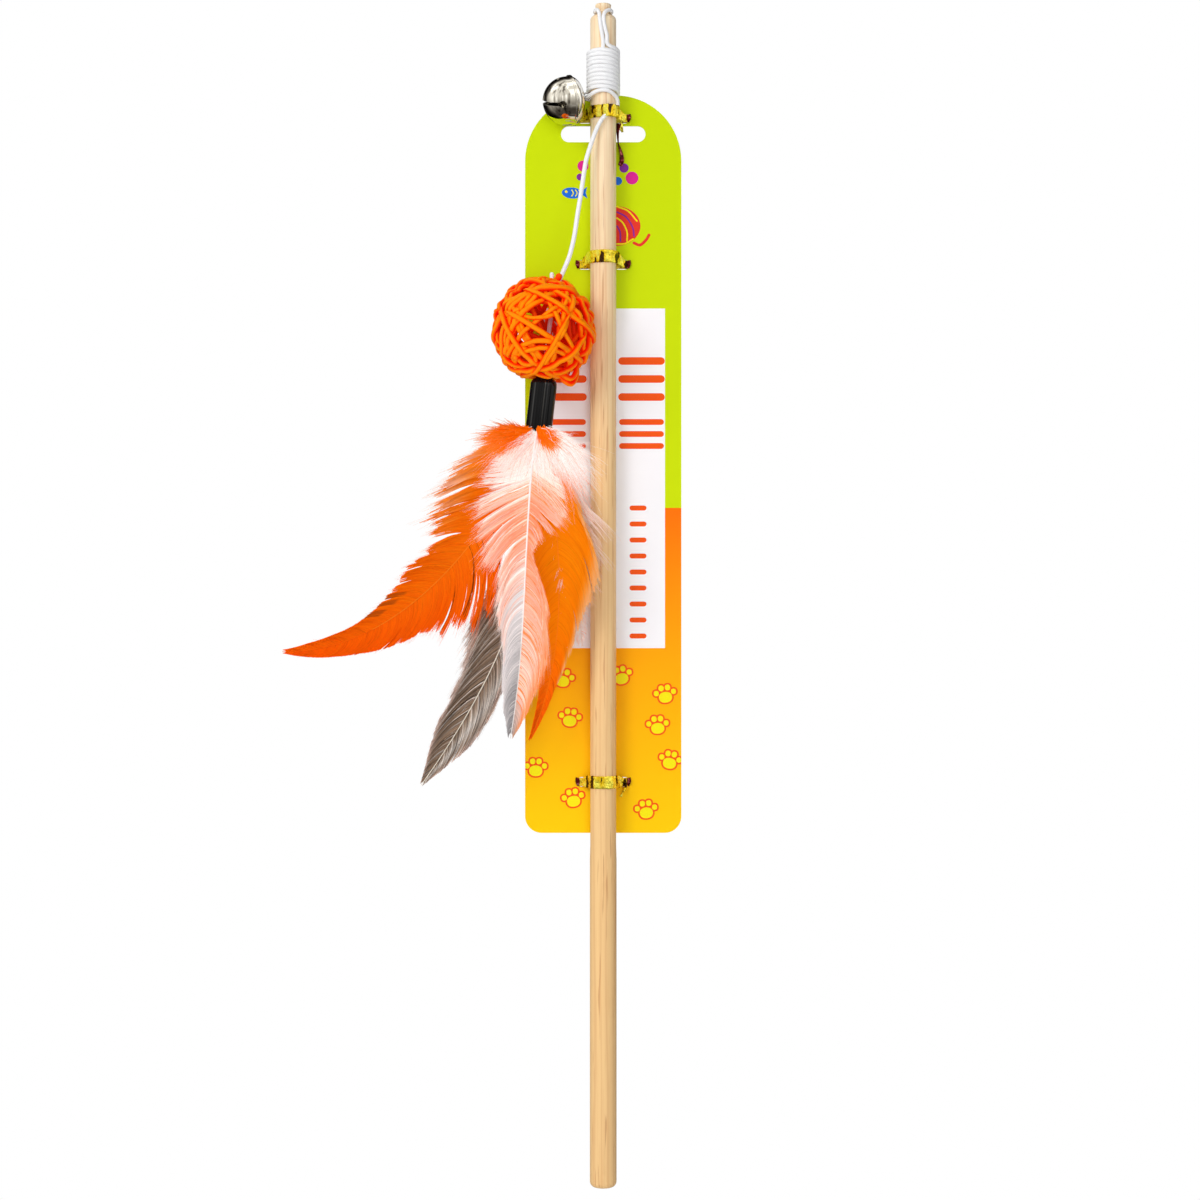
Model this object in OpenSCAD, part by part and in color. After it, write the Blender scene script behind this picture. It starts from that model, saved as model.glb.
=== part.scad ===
// Cat teaser wand: a dowel tied to a header card, with its elastic line wound on
// the tip and a lure of bell, woven ball, cap and feathers hanging down the front.
// Millimetres. +X right, +Y away from the viewer, +Z up. The origin is the centre
// of the card's hang slot, on the card's back face.

/* [View] */

// Node to show

/* [Stick] */

// Dowel radius under the winding
stick_r = 4.4; // [3.5:0.05:5]
// Radius of the handle end
grip_r = 4.55; // [3.6:0.05:5.2]
// Length of the handle end below the card
grip_len = 112; // [60:1:160]
// Cone that joins the two radii
grip_cone = 5; // [2:0.5:12]
// Whole length of the stick, knob included
stick_len = 403.7; // [360:0.1:420]
// Height of the knob's top over the hang slot
stick_top = 43.6; // [42:0.1:48]
// Rounding of the handle's end
stick_end_r = 2; // [0.5:0.1:3]
// Gap between stick and card
stick_gap = 0.15; // [0.05:0.05:0.5]

/* [Tip knob] */

// Radius of the knob
knob_r = 2.7; // [2.3:0.05:3.2]
// Height of the knob with its neck
knob_h = 3.7; // [3:0.1:4.5]
// Radius of the neck under the knob
neck_r = 2.05; // [1.6:0.05:2.2]
// Height of the domed shoulder
shoulder_h = 2; // [1:0.1:3]

/* [Card] */

// Width of the card
card_w = 53.6; // [48:0.2:60]
// Height of the card
card_h = 253; // [240:1:260]
// Thickness of the board
card_t = 0.5; // [0.3:0.05:0.8]
// Height of the top edge over the slot's centre
card_top = 13.3; // [13:0.1:13.5]
// Radius of the top corners
card_top_r = 22.5; // [15:0.5:24]
// Radius of the bottom corners
card_low_r = 5.7; // [2:0.1:10]
// Length of the hang slot
slot_w = 29; // [26:0.5:32]
// Height of the hang slot
slot_h = 5.5; // [4.6:0.1:5.8]
// Outer end of each tie hole, from the centre line
hole_reach = 9; // [7.5:0.1:11]
// Height of each tie hole
hole_h = 3.3; // [3.2:0.1:3.5]

/* [Foil ties] */

// Width of the foil strip
foil_w = 4.3; // [3.6:0.1:4.6]
// Thickness of the strip with its wire
foil_t = 0.3; // [0.2:0.05:0.4]
// Height of the top holes
tie_top_z = 5.3; // [5.2:0.1:5.6]
// Height of the middle holes
tie_mid_z = -44.8; // [-60:0.1:-30]
// Height of the bottom holes over the card's lower edge
tie_low_up = 17.5; // [10:0.5:40]
// Length of the top tie's twisted tail
tail_top = 15.5; // [8:0.5:18]
// Length of the middle tie's twisted tail
tail_mid = 12; // [8:0.5:18]
// Length of the bottom tie's twisted tail
tail_low = 6; // [4:0.5:12]

/* [Elastic line] */

// Diameter of the free line
line_d = 1.5; // [1.3:0.05:1.6]
// Diameter of the line where it is stretched and wound
wound_d = 1.1; // [0.9:0.05:1.15]
// Rise of one turn
wound_pitch = 1.385; // [1.37:0.005:1.5]
// Height of the first turn at the front
wound_top = 27.4; // [27.2:0.1:30]
// Clearance between the wound line and the stick
wound_gap = 0.1; // [0.05:0.05:0.2]

/* [Woven ball] */

// Outer diameter of the ball
ball_d = 36.3; // [34:0.1:37]
// Diameter of one cane
cane_d = 1.8; // [1.4:0.05:1.9]
// Spacing of the two canes of a band
cane_step = 2.1; // [2:0.05:2.4]
// Clearance where one cane crosses another
cane_gap = 0.06; // [0.03:0.01:0.2]
// Diameter of one inner cane
inner_cane_d = 1.5; // [1.2:0.05:1.7]

/* [Jingle bell] */

// Outer diameter of the bell without its seam
bell_d = 16.4; // [14:0.2:16.8]
// Depth of the slit half
bell_deep = 9.6; // [8.6:0.1:10]
// Depth of the flattened half with the ring
bell_flat = 4.5; // [4:0.1:5]
// Wall of both halves
bell_wall = 0.5; // [0.4:0.05:0.7]
// Width of the folded seam, outside the wall
seam_w = 0.4; // [0.2:0.05:0.6]
// Height of the folded seam
seam_h = 1; // [0.6:0.1:1.4]
// Width of the slits
slit_w = 1.2; // [0.8:0.1:1.6]
// Diameter of the hole at the end of each slit
slit_hole_d = 2.2; // [1.6:0.1:2.6]
// Diameter of the loose pellet
pellet_d = 4.2; // [3:0.1:5]
// Inner radius of the wire ring
ring_r = 0.95; // [0.85:0.05:1.1]
// Diameter of the ring's wire
ring_wire = 0.65; // [0.5:0.05:0.7]

/* [Feather cap] */

// Outer radius of the cap
cap_r = 4.45; // [4:0.05:4.8]
// Length of the cap
cap_len = 19.5; // [17:0.5:22]
// Wall of the cap
cap_wall = 0.55; // [0.4:0.05:0.7]
// Radius of the cap's top
cap_top_r = 2.9; // [2.6:0.1:3]
// Radius of the hole for the line
cap_hole_r = 1.1; // [1:0.05:1.3]
// Lean of the cap
cap_lean = 6.5; // [0:0.5:10]

/* [Feathers] */

// Sideways reach of the long feather
long_reach = 85; // [60:1:95]
// Drop of the long feather
long_drop = 76; // [50:1:85]
// Drop of the pale middle feather
pale_drop = 104.5; // [80:0.5:115]
// Drop of the grey feather
grey_drop = 120.5; // [90:0.5:130]
// Drop of the right feather
right_drop = 106; // [80:1:115]
// Drop of the pink wisps
wisp_drop = 74; // [50:1:85]
// Radius of a bare quill
quill_r = 0.45; // [0.3:0.05:0.5]
// Thickness of a vane
vane_t = 0.35; // [0.25:0.05:0.5]

/* [Hidden] */

// One overrun serves all cuts.
over = 1;
// Smooth exact curves need only a moderate count.
$fn = 48;

stick_y = -(card_t + stick_gap + stick_r);
stick_low = stick_top - stick_len;
tie_low_z = card_top - card_h + tie_low_up;

function unit(v) = v / norm(v);
function at_turn(a, r, z) = [r * cos(a), stick_y + r * sin(a), z];

// Direction of a route at one of its points.
function heading(p, i) = unit(p[min(i + 1, len(p) - 1)] - p[max(i - 1, 0)]);
function loop_heading(p, i) = unit(p[(i + 1) % len(p)] - p[(i + len(p) - 1) % len(p)]);

// A ring of n points round a centre, square to the heading, its first point
// toward the given side, turned by half a face where the flats face that way.
function ring_at(c, t, side, r, n, turn = 0) =
    let (a = unit(side - (side * t) * t), b = cross(t, a))
    [for (k = [0 : n - 1])
        let (w = 360 * k / n + turn) c + r * (cos(w) * a + sin(w) * b)];

// A closed skin over rings of points.
module skin(rings, closed = false) {
    n = len(rings[0]);
    m = len(rings);
    sides = [for (i = [0 : closed ? m - 1 : m - 2]) for (k = [0 : n - 1])
        let (a = i * n + k, b = i * n + (k + 1) % n, j = ((i + 1) % m) * n,
             c = j + (k + 1) % n, d = j + k)
        each [[a, c, b], [a, d, c]]];
    caps = closed ? [] : [for (k = [1 : n - 2])
        each [[0, k, k + 1], [(m - 1) * n, (m - 1) * n + k + 1, (m - 1) * n + k]]];
    polyhedron([for (r = rings) each r], concat(sides, caps), convexity = 8);
}

// A round tube along an open route; side keeps its faces from twisting.
module tube(route, d, n, side) {
    skin([for (i = [0 : len(route) - 1])
        ring_at(route[i], heading(route, i), side, d / 2, n)]);
}

// Points of an arc in a profile, by radius and height.
function arc(c, r, from, to, n = 6) =
    [for (i = [0 : n]) let (w = from + (to - from) * i / n) c + r * [cos(w), sin(w)]];

// Stick.

module stick() {
    neck_z = stick_top - knob_h;
    flare = knob_r - neck_r;
    knob_edge = flare;
    color("BurlyWood")
    translate([0, stick_y, 0])
    rotate_extrude($fn = 64)
    polygon(concat(
        [[0, stick_low]],
        arc([grip_r - stick_end_r, stick_low + stick_end_r], stick_end_r, -90, 0),
        [[grip_r, stick_low + grip_len], [stick_r, stick_low + grip_len + grip_cone]],
        [for (w = [0 : 15 : 90])
            [neck_r + (stick_r - neck_r) * cos(w), neck_z - shoulder_h * (1 - sin(w))]],
        [[neck_r, neck_z + (knob_h - flare) / 2], [knob_r, stick_top - 2 * knob_edge]],
        arc([knob_r - knob_edge, stick_top - knob_edge], knob_edge, 0, 90),
        [[0, stick_top]]));
}

// Header card.

module slot_outline(w, h) {
    for (s = [-1, 1])
        translate([s * (w - h) / 2, 0])
        circle(d = h);
    square([w - h, h], center = true);
}

module card_outline() {
    low = card_top - card_h;
    for (s = [-1, 1]) {
        translate([s * (card_w / 2 - card_top_r), card_top - card_top_r])
        circle(r = card_top_r, $fn = 96);
        translate([s * (card_w / 2 - card_low_r), low + card_low_r])
        circle(r = card_low_r);
    }
    translate([card_top_r - card_w / 2, low + card_low_r])
    square([card_w - 2 * card_top_r, card_h - card_low_r]);
    translate([-card_w / 2, low + card_low_r])
    square([card_w, card_h - card_low_r - card_top_r]);
    translate([card_low_r - card_w / 2, low])
    square([card_w - 2 * card_low_r, card_low_r]);
}

tie_places = [tie_top_z, tie_mid_z, tie_low_z];
hole_inner = stick_r - hole_h / 4;

module header_card() {
    color("YellowGreen")
    rotate([90, 0, 0])
    linear_extrude(card_t)
    difference() {
        card_outline();
        slot_outline(slot_w, slot_h);
        for (z = tie_places, s = [-1, 1])
            translate([s * (hole_reach + hole_inner) / 2, z])
            slot_outline(hole_reach - hole_inner, hole_h);
    }
}

// Foil ties.

tie_gap = wound_gap / 2;
leg_h = hole_h - 4 * wound_gap;

// Radius of the stick where a tie's lower edge lies.
function stick_r_at(z) = z - foil_w > stick_low + grip_len + grip_cone ? stick_r : grip_r;

// Outline inside the strip: round the stick, back past the card, and over
// whatever line the strip holds.
module strip_inside(grow, held, r) {
    hull() {
        translate([0, stick_y])
        circle(r = r + tie_gap + grow, $fn = 40);
        for (w = held)
            translate([wound_r * cos(w), stick_y + wound_r * sin(w)])
            circle(d = line_d + 2 * grow, $fn = 16);
        translate([-r - tie_gap - grow, stick_y])
        square([2 * (r + tie_gap + grow), tie_gap + grow - stick_y]);
    }
}

module strip_loop(h, held, r) {
    linear_extrude(h, center = true)
    difference() {
        strip_inside(foil_t, held, r);
        strip_inside(0, held, r);
    }
}

// The tail is the strip's two ends twisted together, swinging in from its root.
module twisted_tail(root, length, lean, turns, from) {
    count = ceil(turns * 8);
    wide = foil_w / 3;
    skin([for (i = [0 : count])
        let (s = i / count, w = from + 360 * turns * s,
             c = root + [lean[0] * s, lean[1] * s, -length * s],
             u = wide / 2 * [cos(w), sin(w), 0], v = foil_t * [-sin(w), cos(w), 0])
        [c + u + v, c + u - v, c - u - v, c - u + v]]);
}

module foil_tie(hole_z, rise, held, root, length, lean, turns, from = 0) {
    r = stick_r_at(hole_z);
    color("DarkGoldenrod") {
        translate([0, 0, hole_z])
        strip_loop(leg_h, held, r);
        translate([0, 0, hole_z + rise])
        intersection() {
            strip_loop(foil_w, held, r);
            translate([-hole_reach, 2 * stick_y - hole_reach, -foil_w])
            cube([2 * hole_reach, hole_reach - stick_y - stick_r / 4, 2 * foil_w]);
        }
        twisted_tail(root, length, lean, turns, from);
    }
}

leg_x = stick_r + tie_gap + foil_t;
// Angles at which the top tie passes over the line.
held_angles = [270, 292, 315, 345];
tail_y = foil_w / 6 - foil_t / 2;

module tie_top() {
    foil_tie(tie_top_z, foil_w / 4, held_angles,
        [leg_x + tail_y, -card_t - 2 * tail_y, tie_top_z], tail_top, [foil_t, 0], 3.5);
}

module tie_middle() {
    foil_tie(tie_mid_z, 0.44 * foil_w, [],
        [0, tie_gap + foil_t + tail_y, tie_mid_z], tail_mid, [-foil_t, 0], 3, 90);
}

module tie_bottom() {
    foil_tie(tie_low_z, foil_w / 12, [],
        [leg_x + tail_y, -card_t - 2 * tail_y, tie_low_z + foil_t], tail_low,
        [2 * foil_t, 0], 1.5);
}

// Elastic line.

wound_r = stick_r + wound_gap + wound_d / 2;
wound_side = 6;
rings_per_turn = 24;
lead_angle = 284;
lead_bend = 1.27 * wound_d;
lead_sweep = lead_bend / wound_r * 180 / PI;
wound_turns = 9.39;

function helix(a) =
    at_turn(a, wound_r, wound_top - wound_pitch * (a - 270) / 360);

// The line comes down the front, bends into the first turn and runs its turns.
wound_from = lead_angle + lead_sweep;
wound_to = wound_from + 360 * wound_turns;
wound_step = 360 / rings_per_turn;
lead_foot = helix(lead_angle) + [0, 0, lead_bend];
lead_head = lead_foot + [0, 0, wound_d];
wound_curve = concat(
    [lead_head],
    [for (w = [0 : 15 : 75])
        at_turn(lead_angle + lead_sweep * (1 - cos(w)), wound_r,
            lead_foot[2] - lead_bend * sin(w))],
    [for (a = [wound_from : wound_step : wound_to]) helix(a)]);
wound_last = wound_curve[len(wound_curve) - 1];
wound_exit = unit(helix(wound_to + 1) - helix(wound_to - 1));
wound_route = concat(wound_curve, [wound_last + wound_d * wound_exit]);
wound_end = wound_route[len(wound_route) - 1];

function away(p) = unit([p[0], p[1] - stick_y, 0]);

wound_rings = [for (i = [0 : len(wound_route) - 1])
    let (t = i == len(wound_route) - 1 ? wound_exit
        : i < 2 ? [0, 0, -1] : heading(wound_route, i))
    ring_at(wound_route[i], t, away(wound_route[i]), wound_d / 2, wound_side)];

// Least distance from one turn to the next, between points of their rings.
wound_least = min([for (i = [8 : 2 : len(wound_rings) - 20])
    for (j = [i + 20 : min(i + 28, len(wound_rings) - 1)])
    for (p = wound_rings[i]) for (q = wound_rings[j]) norm(p - q)]);
echo(winding_least_gap_mm = wound_least);

module cord_winding() {
    color("WhiteSmoke")
    skin(wound_rings);
}

// Routes of the free stretches, chosen by hand.
loop_points = [
    [1.2, -10, 33], [1.1, -10, 36.5], [1.1, -10, 38.2], [1.2, -9.7, 39],
    [1.4, -9.1, 39.7], [2.1, -8, 40.4], [2.8, -6.6, 40.7], [2.9, -5.1, 40.7],
    [2.3, -3.4, 40.7], [1.3, -2.5, 40.7], [0, -2.2, 40.7], [-1.3, -2.5, 40.7],
    [-2.3, -3.4, 40.7], [-2.9, -5.1, 40.7], [-2.8, -6.6, 40.7], [-1.9, -8, 40.4],
    [-1, -9.1, 39.7], [-0.8, -9.8, 39], [-0.5, -10.1, 38.2], [-0.3, -10.2, 36.5],
    [-0.2, -10.2, 33], [-0.1, -10.2, 30], [-0.1, -10.1, 27.1]
];
feed_points = [
    [-2.2, 0.3, 14.1], [-3.3, -0.3, 14], [-4.4, -1.3, 13.7], [-5.3, -2.6, 13.1],
    [-5.8, -4, 12.4], [-6, -5.4, 11.8], [-5.9, -6.7, 11.5], [-5.4, -7.9, 11.4],
    [-4.5, -9, 11.8], [-3.2, -9.8, 12.5], [-1.7, -10.1, 13.2], [-0.2, -10.2, 13.5],
    [1.2, -10.1, 13.3], [2.5, -9.6, 12.8], [3.6, -8.7, 12], [4.4, -7.7, 11],
    [4.9, -6.8, 9.9], [4.9, -6.5, 8.8], [4.7, -7.1, 7.7], [4, -8.2, 6.8],
    [2.9, -9.2, 6], [1.6, -9.9, 5.2], [0.7, -10.2, 4.6], [-0.1, -10.4, 4]
];
drop_points = [
    [-1.1, -10.6, 2.3], [-2, -10.8, 0.5], [-3, -11.2, -1.9], [-3.8, -11.6, -4.3],
    [-4.5, -12, -6.5], [-5.3, -12.4, -9.1], [-5.9, -12.8, -11.5], [-6.4, -13.3, -14.5],
    [-7.1, -14.1, -19.5], [-7.8, -14.9, -24.3], [-8.7, -15.8, -30], [-9.7, -16.8, -36.9],
    [-11, -17.6, -42.8], [-12, -18, -45.8], [-13.2, -18.3, -48.7], [-14.3, -18.5, -51.3]
];
core_points = [
    [-14.3, -18.5, -51.3], [-15.3, -18.7, -53.9], [-16, -18.9, -56.6], [-16.8, -19, -60],
    [-17.8, -19.1, -66], [-18.7, -19.1, -74], [-19.4, -19.1, -80], [-19.7, -19.1, -84],
    [-19.9, -19.1, -86]
];
tail_points = [[-16.8, -19.2, -56.6], [-17.2, -19.1, -53.6], [-17.3, -18.9, -50.4]];
bend_point = [-0.7, -10.5, 3];
knot_point = [-16.5, -19, -58.1];
knot_d = 2 * line_d;

module cord_tip_loop() {
    color("WhiteSmoke")
    tube(concat([lead_head, lead_head + [0, 0, wound_d]], loop_points), wound_d, 8,
        [0.3, 1, 0.2]);
}

module cord_feed() {
    color("WhiteSmoke")
    skin([for (route = [concat([wound_end, wound_end + wound_d * wound_exit], feed_points)])
        for (i = [0 : len(route) - 1])
        ring_at(route[i], i < 2 ? wound_exit : heading(route, i),
            away(route[i]), wound_d / 2, 8)]);
}

module cord_bend() {
    color("WhiteSmoke")
    translate(bend_point)
    sphere(d = line_d);
}

module cord_drop() {
    color("WhiteSmoke")
    tube(drop_points, line_d, 8, [0, 1, 0]);
}

module cord_core() {
    color("WhiteSmoke")
    tube(core_points, line_d, 8, [0, 1, 0]);
}

module cord_tail() {
    color("WhiteSmoke")
    tube(tail_points, line_d, 8, [0, 1, 0]);
}

module ball_knot() {
    color("WhiteSmoke")
    translate(knot_point)
    sphere(d = knot_d);
}

// Woven ball.

// Place of the ball: its centre and the tilt of the axis that the line follows.
ball_x = -20.1;
ball_y = -19.1;
ball_z = -68.8;
ball_tilt = 4.5;

// Half the thickness of a cane whose flats face outward, and the swing that
// carries one cane over the next.
cane_half = cane_d / 2 * cos(30);
cane_swing = cane_half + cane_gap;
band_r = ball_d / 2 - cane_half - cane_swing;
inner_half = inner_cane_d / 2 * cos(30);
inner_swing = inner_half + cane_gap;
inner_r = band_r - cane_swing - cane_half - inner_half - inner_swing - 2 * cane_gap;

// The six axes of an icosahedron. Great circles square to them cross every 36
// degrees, and a wave of five crests a turn passes over one and under the next.
ico_lean = atan(2);
function band_axis(i) = i == 5 ? [0, 0, 1]
    : [sin(ico_lean) * cos(72 * i), sin(ico_lean) * sin(72 * i), cos(ico_lean)];
function band_start(i) = i == 5 ? [0, 1, 0] : [sin(72 * i), -cos(72 * i), 0];
function wave(t) = (cos(5 * t) - 0.12 * cos(15 * t)) / 0.88;

function cane_route(i, offset, r, swing, count) =
    let (n = band_axis(i), u = band_start(i), v = cross(n, u), lean = asin(offset / r))
    [for (k = [0 : count - 1])
        let (t = 360 * k / count,
             d = cos(lean) * (cos(t) * u + sin(t) * v) + sin(lean) * n)
        (r + swing * wave(t)) * d];

module cane(i, offset, r, swing, d, count) {
    route = cane_route(i, offset, r, swing, count);
    skin([for (k = [0 : count - 1])
        ring_at(route[k], loop_heading(route, k), unit(route[k]), d / 2, 6, 30)],
        closed = true);
}

module ball_place() {
    translate([ball_x, ball_y, ball_z])
    rotate([0, ball_tilt, 0])
    children();
}

module ball_band(i) {
    color(i % 2 == 0 ? "DarkOrange" : "Orange")
    ball_place()
    for (s = [-1, 1])
        cane(i, s * cane_step / 2, band_r, cane_swing, cane_d, 40);
}

module ball_band_1() { ball_band(0); }
module ball_band_2() { ball_band(1); }
module ball_band_3() { ball_band(2); }
module ball_band_4() { ball_band(3); }
module ball_band_5() { ball_band(4); }
module ball_band_6() { ball_band(5); }

module ball_inner_weave() {
    color("Chocolate")
    ball_place()
    for (i = [0 : 5])
        cane(i, 0, inner_r, inner_swing, inner_cane_d, 30);
}

// Jingle bell.

// The ring hangs on the line beside the stick, and the bell stands out from it.
bell_x = -11.05;
bell_y = -9.45;
bell_z = 9.8;
bell_lean = 83;
bell_swing_out = 15;
slit_turn = 17.5;
bell_r = bell_d / 2;
bell_lip = bell_deep - bell_r;
ring_up = 0.9;
ring_out = ring_r + ring_wire;
ring_z = bell_flat + ring_out - ring_wire / 3;

module bell_place() {
    translate([bell_x, bell_y, bell_z])
    rotate([0, bell_lean, bell_swing_out])
    children();
}

// Profile of one half, from the seam to the pole: a wall with the folded seam on
// its rim. deep is the depth outside, lip the straight part, up is 1 or -1.
module shell_profile(deep, lip, up) {
    round_h = deep - lip;
    inner_r = bell_r - bell_wall;
    polygon(concat(
        [[inner_r, 0], [bell_r + seam_w, 0], [bell_r + seam_w, up * seam_h / 2],
         [bell_r, up * seam_h / 2]],
        [for (w = [seam_h / 2 > lip ? 10 : 0 : 10 : 90])
            [bell_r * cos(w), up * (lip + round_h * sin(w))]],
        [for (w = [90 : -10 : 0])
            [inner_r * cos(w), up * (lip + (round_h - bell_wall) * sin(w))]]));
}

module bell_cap_shell() {
    color("Silver")
    bell_place()
    rotate_extrude()
    shell_profile(bell_flat, 0, 1);
}

module bell_slit_shell() {
    slit_top = -bell_deep / 2;
    color("Gainsboro")
    bell_place()
    difference() {
        rotate_extrude()
        shell_profile(bell_deep, bell_lip, -1);
        for (w = [0, 90])
            rotate([0, 0, slit_turn + w]) {
                translate([-bell_d, -slit_w / 2, -bell_deep - over])
                cube([2 * bell_d, slit_w, bell_deep + over + slit_top]);
                translate([-bell_d, 0, slit_top])
                rotate([0, 90, 0])
                cylinder(d = slit_hole_d, h = 2 * bell_d, $fn = 32);
            }
    }
}

// The ring is soldered upright on the flattened half.
module bell_ring() {
    color("DimGray")
    bell_place() {
        translate([-ring_up, 0, ring_z])
        rotate([90, 0, 0])
        rotate_extrude()
        translate([ring_r + ring_wire / 2, 0])
        circle(d = ring_wire, $fn = 24);
    }
}

// The pellet lies on the wall that hangs lowest.
module bell_pellet() {
    color("Gray")
    bell_place()
    translate([bell_r - bell_wall - pellet_d / 2 - cane_gap, 0, -bell_lip])
    sphere(d = pellet_d);
}

// Feather cap.

cap_x = -19.6;
cap_y = -19.1;
cap_z = -84.1;
cap_neck = 1.4;
cap_shoulder = 2.4;
cap_roof = 1.2;
plug_rise = 2.5;
plug_t = 5;
plug_gap = 0.05;

module cap_place() {
    translate([cap_x, cap_y, cap_z])
    rotate([0, cap_lean, 0])
    children();
}

function cap_edge(r_top, r, z_top, shoulder) =
    [for (w = [0 : 15 : 90])
        [r_top + (r - r_top) * sin(w), z_top - shoulder * (1 - cos(w))]];

module ferrule() {
    bore = cap_r - cap_wall;
    color("DimGray")
    cap_place()
    rotate_extrude()
    difference() {
        polygon(concat(
            [[0, -cap_len], [0, 0]],
            arc([cap_top_r - cap_wall, -cap_wall], cap_wall, 90, 0, 4),
            cap_edge(cap_top_r, cap_r, -cap_neck, cap_shoulder),
            [[cap_r, -cap_len]]));
        polygon(concat(
            [[0, -cap_len - over], [0, -cap_roof], [cap_top_r - cap_wall, -cap_roof]],
            cap_edge(cap_top_r - cap_wall, bore, -cap_neck - cap_wall, cap_shoulder),
            [[bore, -cap_len - over]]));
        translate([0, -cap_roof - over])
        square([cap_hole_r, cap_roof + 2 * over]);
    }
}

module cap_knot() {
    color("WhiteSmoke")
    cap_place()
    translate([0, 0, -cap_roof - knot_d / 2 - plug_gap])
    sphere(d = knot_d);
}

module glue_plug() {
    color("Ivory")
    cap_place()
    translate([0, 0, plug_rise - cap_len])
    cylinder(r = cap_r - cap_wall - plug_gap, h = plug_t);
}

// Feathers.

// Each quill's place across the cap's mouth, from its centre.
long_x = -0.8;
pale_x = 0.4;
grey_x = 0.6;
right_x = 1.1;
wisp_x = 0.2;
white_x = 0.6;
salmon_x = -0.6;
tuft_left_x = -2.6;
tuft_right_x = 2.7;

// Every quill starts under the glue plug.
mouth_z = plug_rise - cap_len - 0.7 * quill_r;
layer_step = 0.85;
function cap_point(x, y, z) =
    [cap_x + x * cos(cap_lean) + z * sin(cap_lean), cap_y + y,
     cap_z - x * sin(cap_lean) + z * cos(cap_lean)];

function bezier(p, t) =
    pow(1 - t, 3) * p[0] + 3 * pow(1 - t, 2) * t * p[1]
    + 3 * (1 - t) * t * t * p[2] + pow(t, 3) * p[3];
function share_at(list, t) =
    let (s = t * (len(list) - 1), i = min(floor(s), len(list) - 2))
    list[i] + (list[i + 1] - list[i]) * (s - i);

// A vane: the quill's curve, with barbs that sweep out and on toward the tip.
// left and right are shares of the longest barb, from quill to tip.
module feather(curve, barb, left_shares, right_shares, sweep, count = 24) {
    front = [0, -1, 0];
    skin([for (i = [0 : count])
        let (s = i / count,
             c = bezier(curve, s),
             t = unit(bezier(curve, min(1, s + 0.01)) - bezier(curve, max(0, s - 0.01))),
             side = unit(cross(t, front)),
             face = cross(side, t),
             q = quill_r * (1 - 0.7 * s),
             wl = max(q, barb * share_at(left_shares, s)),
             wr = max(q, barb * share_at(right_shares, s)),
             thin = min(q, vane_t),
             l = wl * (cos(sweep) * side + sin(sweep) * (wl - q) / barb * t),
             r = wr * (-cos(sweep) * side + sin(sweep) * (wr - q) / barb * t))
        [c + l - thin / 2 * face, c + l / 2 + thin * face, c + q * face,
         c + r / 2 + thin * face, c + r - thin / 2 * face, c - q * face]]);
}

// A quill's curve: its place in the mouth, then its fall, reach and spread.
function fall(x, layer, p1, p2, p3) =
    let (root = cap_point(x, layer * layer_step, mouth_z),
         below = cap_point(x, layer * layer_step, -cap_len - plug_rise))
    [root, root + p1 + (below - root) / 3, root + p2, root + p3];

long_left_shares = [0, 0.9, 1, 0.9, 0.65, 0.44, 0.48, 0.37, 0.28, 0.2, 0.17, 0.12, 0.02];
long_right_shares = [0, 0.12, 0.2, 0.41, 0.8, 0.86, 0.61, 0.48, 0.42, 0.3, 0.2, 0.11, 0.02];

module feather_long() {
    y = layer_step;
    color("OrangeRed")
    feather(fall(long_x, -1,
            [-0.19 * long_reach, -y, -0.55 * long_drop],
            [-0.6 * long_reach, -3 * y, -1.02 * long_drop],
            [-long_reach, -4 * y, -long_drop]),
        long_reach / 3.9,
        long_left_shares, long_right_shares, 30);
}

pale_left_shares = [0, 0.3, 0.7, 0.9, 1, 0.85, 0.73, 0.51, 0.33, 0.26, 0.22, 0.15, 0.02];
pale_right_shares = [0, 0.15, 0.28, 0.4, 0.48, 0.54, 0.53, 0.49, 0.45, 0.45, 0.42, 0.3, 0.02];

module feather_pale() {
    y = layer_step;
    color("MistyRose")
    feather(fall(pale_x, -2,
            [-0.022 * pale_drop, -2 * y, -0.32 * pale_drop],
            [-0.065 * pale_drop, -5 * y, -0.66 * pale_drop],
            [-0.091 * pale_drop, -6 * y, -pale_drop]),
        pale_drop / 4.2,
        pale_left_shares, pale_right_shares, 30);
}

grey_left_shares = [0, 0.05, 0.1, 0.5, 0.56, 0.54, 0.56, 0.77, 0.93, 0.94, 0.87, 0.57, 0.03];
grey_right_shares = [0, 0.05, 0.1, 0.45, 0.6, 0.56, 0.55, 0.65, 0.77, 0.97, 0.84, 0.5, 0.03];

module feather_grey() {
    y = layer_step;
    color("Tan")
    feather(fall(grey_x, 0,
            [0.008 * grey_drop, 0, -0.4 * grey_drop],
            [-0.108 * grey_drop, y, -0.685 * grey_drop],
            [-0.334 * grey_drop, 2 * y, -grey_drop]),
        grey_drop / 14,
        grey_left_shares, grey_right_shares, 25);
}

right_left_shares = [0, 0.3, 0.45, 0.51, 0.53, 0.41, 0.29, 0.28, 0.36, 0.3, 0.24, 0.14, 0.02];
right_right_shares = [0, 0.05, 0.47, 0.7, 0.98, 1, 0.68, 0.41, 0.28, 0.2, 0.11, 0.08, 0.02];

module feather_right() {
    y = layer_step;
    color("Orange")
    feather(fall(right_x, 1,
            [0.057 * right_drop, y, -0.336 * right_drop],
            [0.099 * right_drop, 3 * y, -0.694 * right_drop],
            [-0.042 * right_drop, 3 * y, -right_drop]),
        right_drop / 8,
        right_left_shares, right_right_shares, 30);
}

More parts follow.
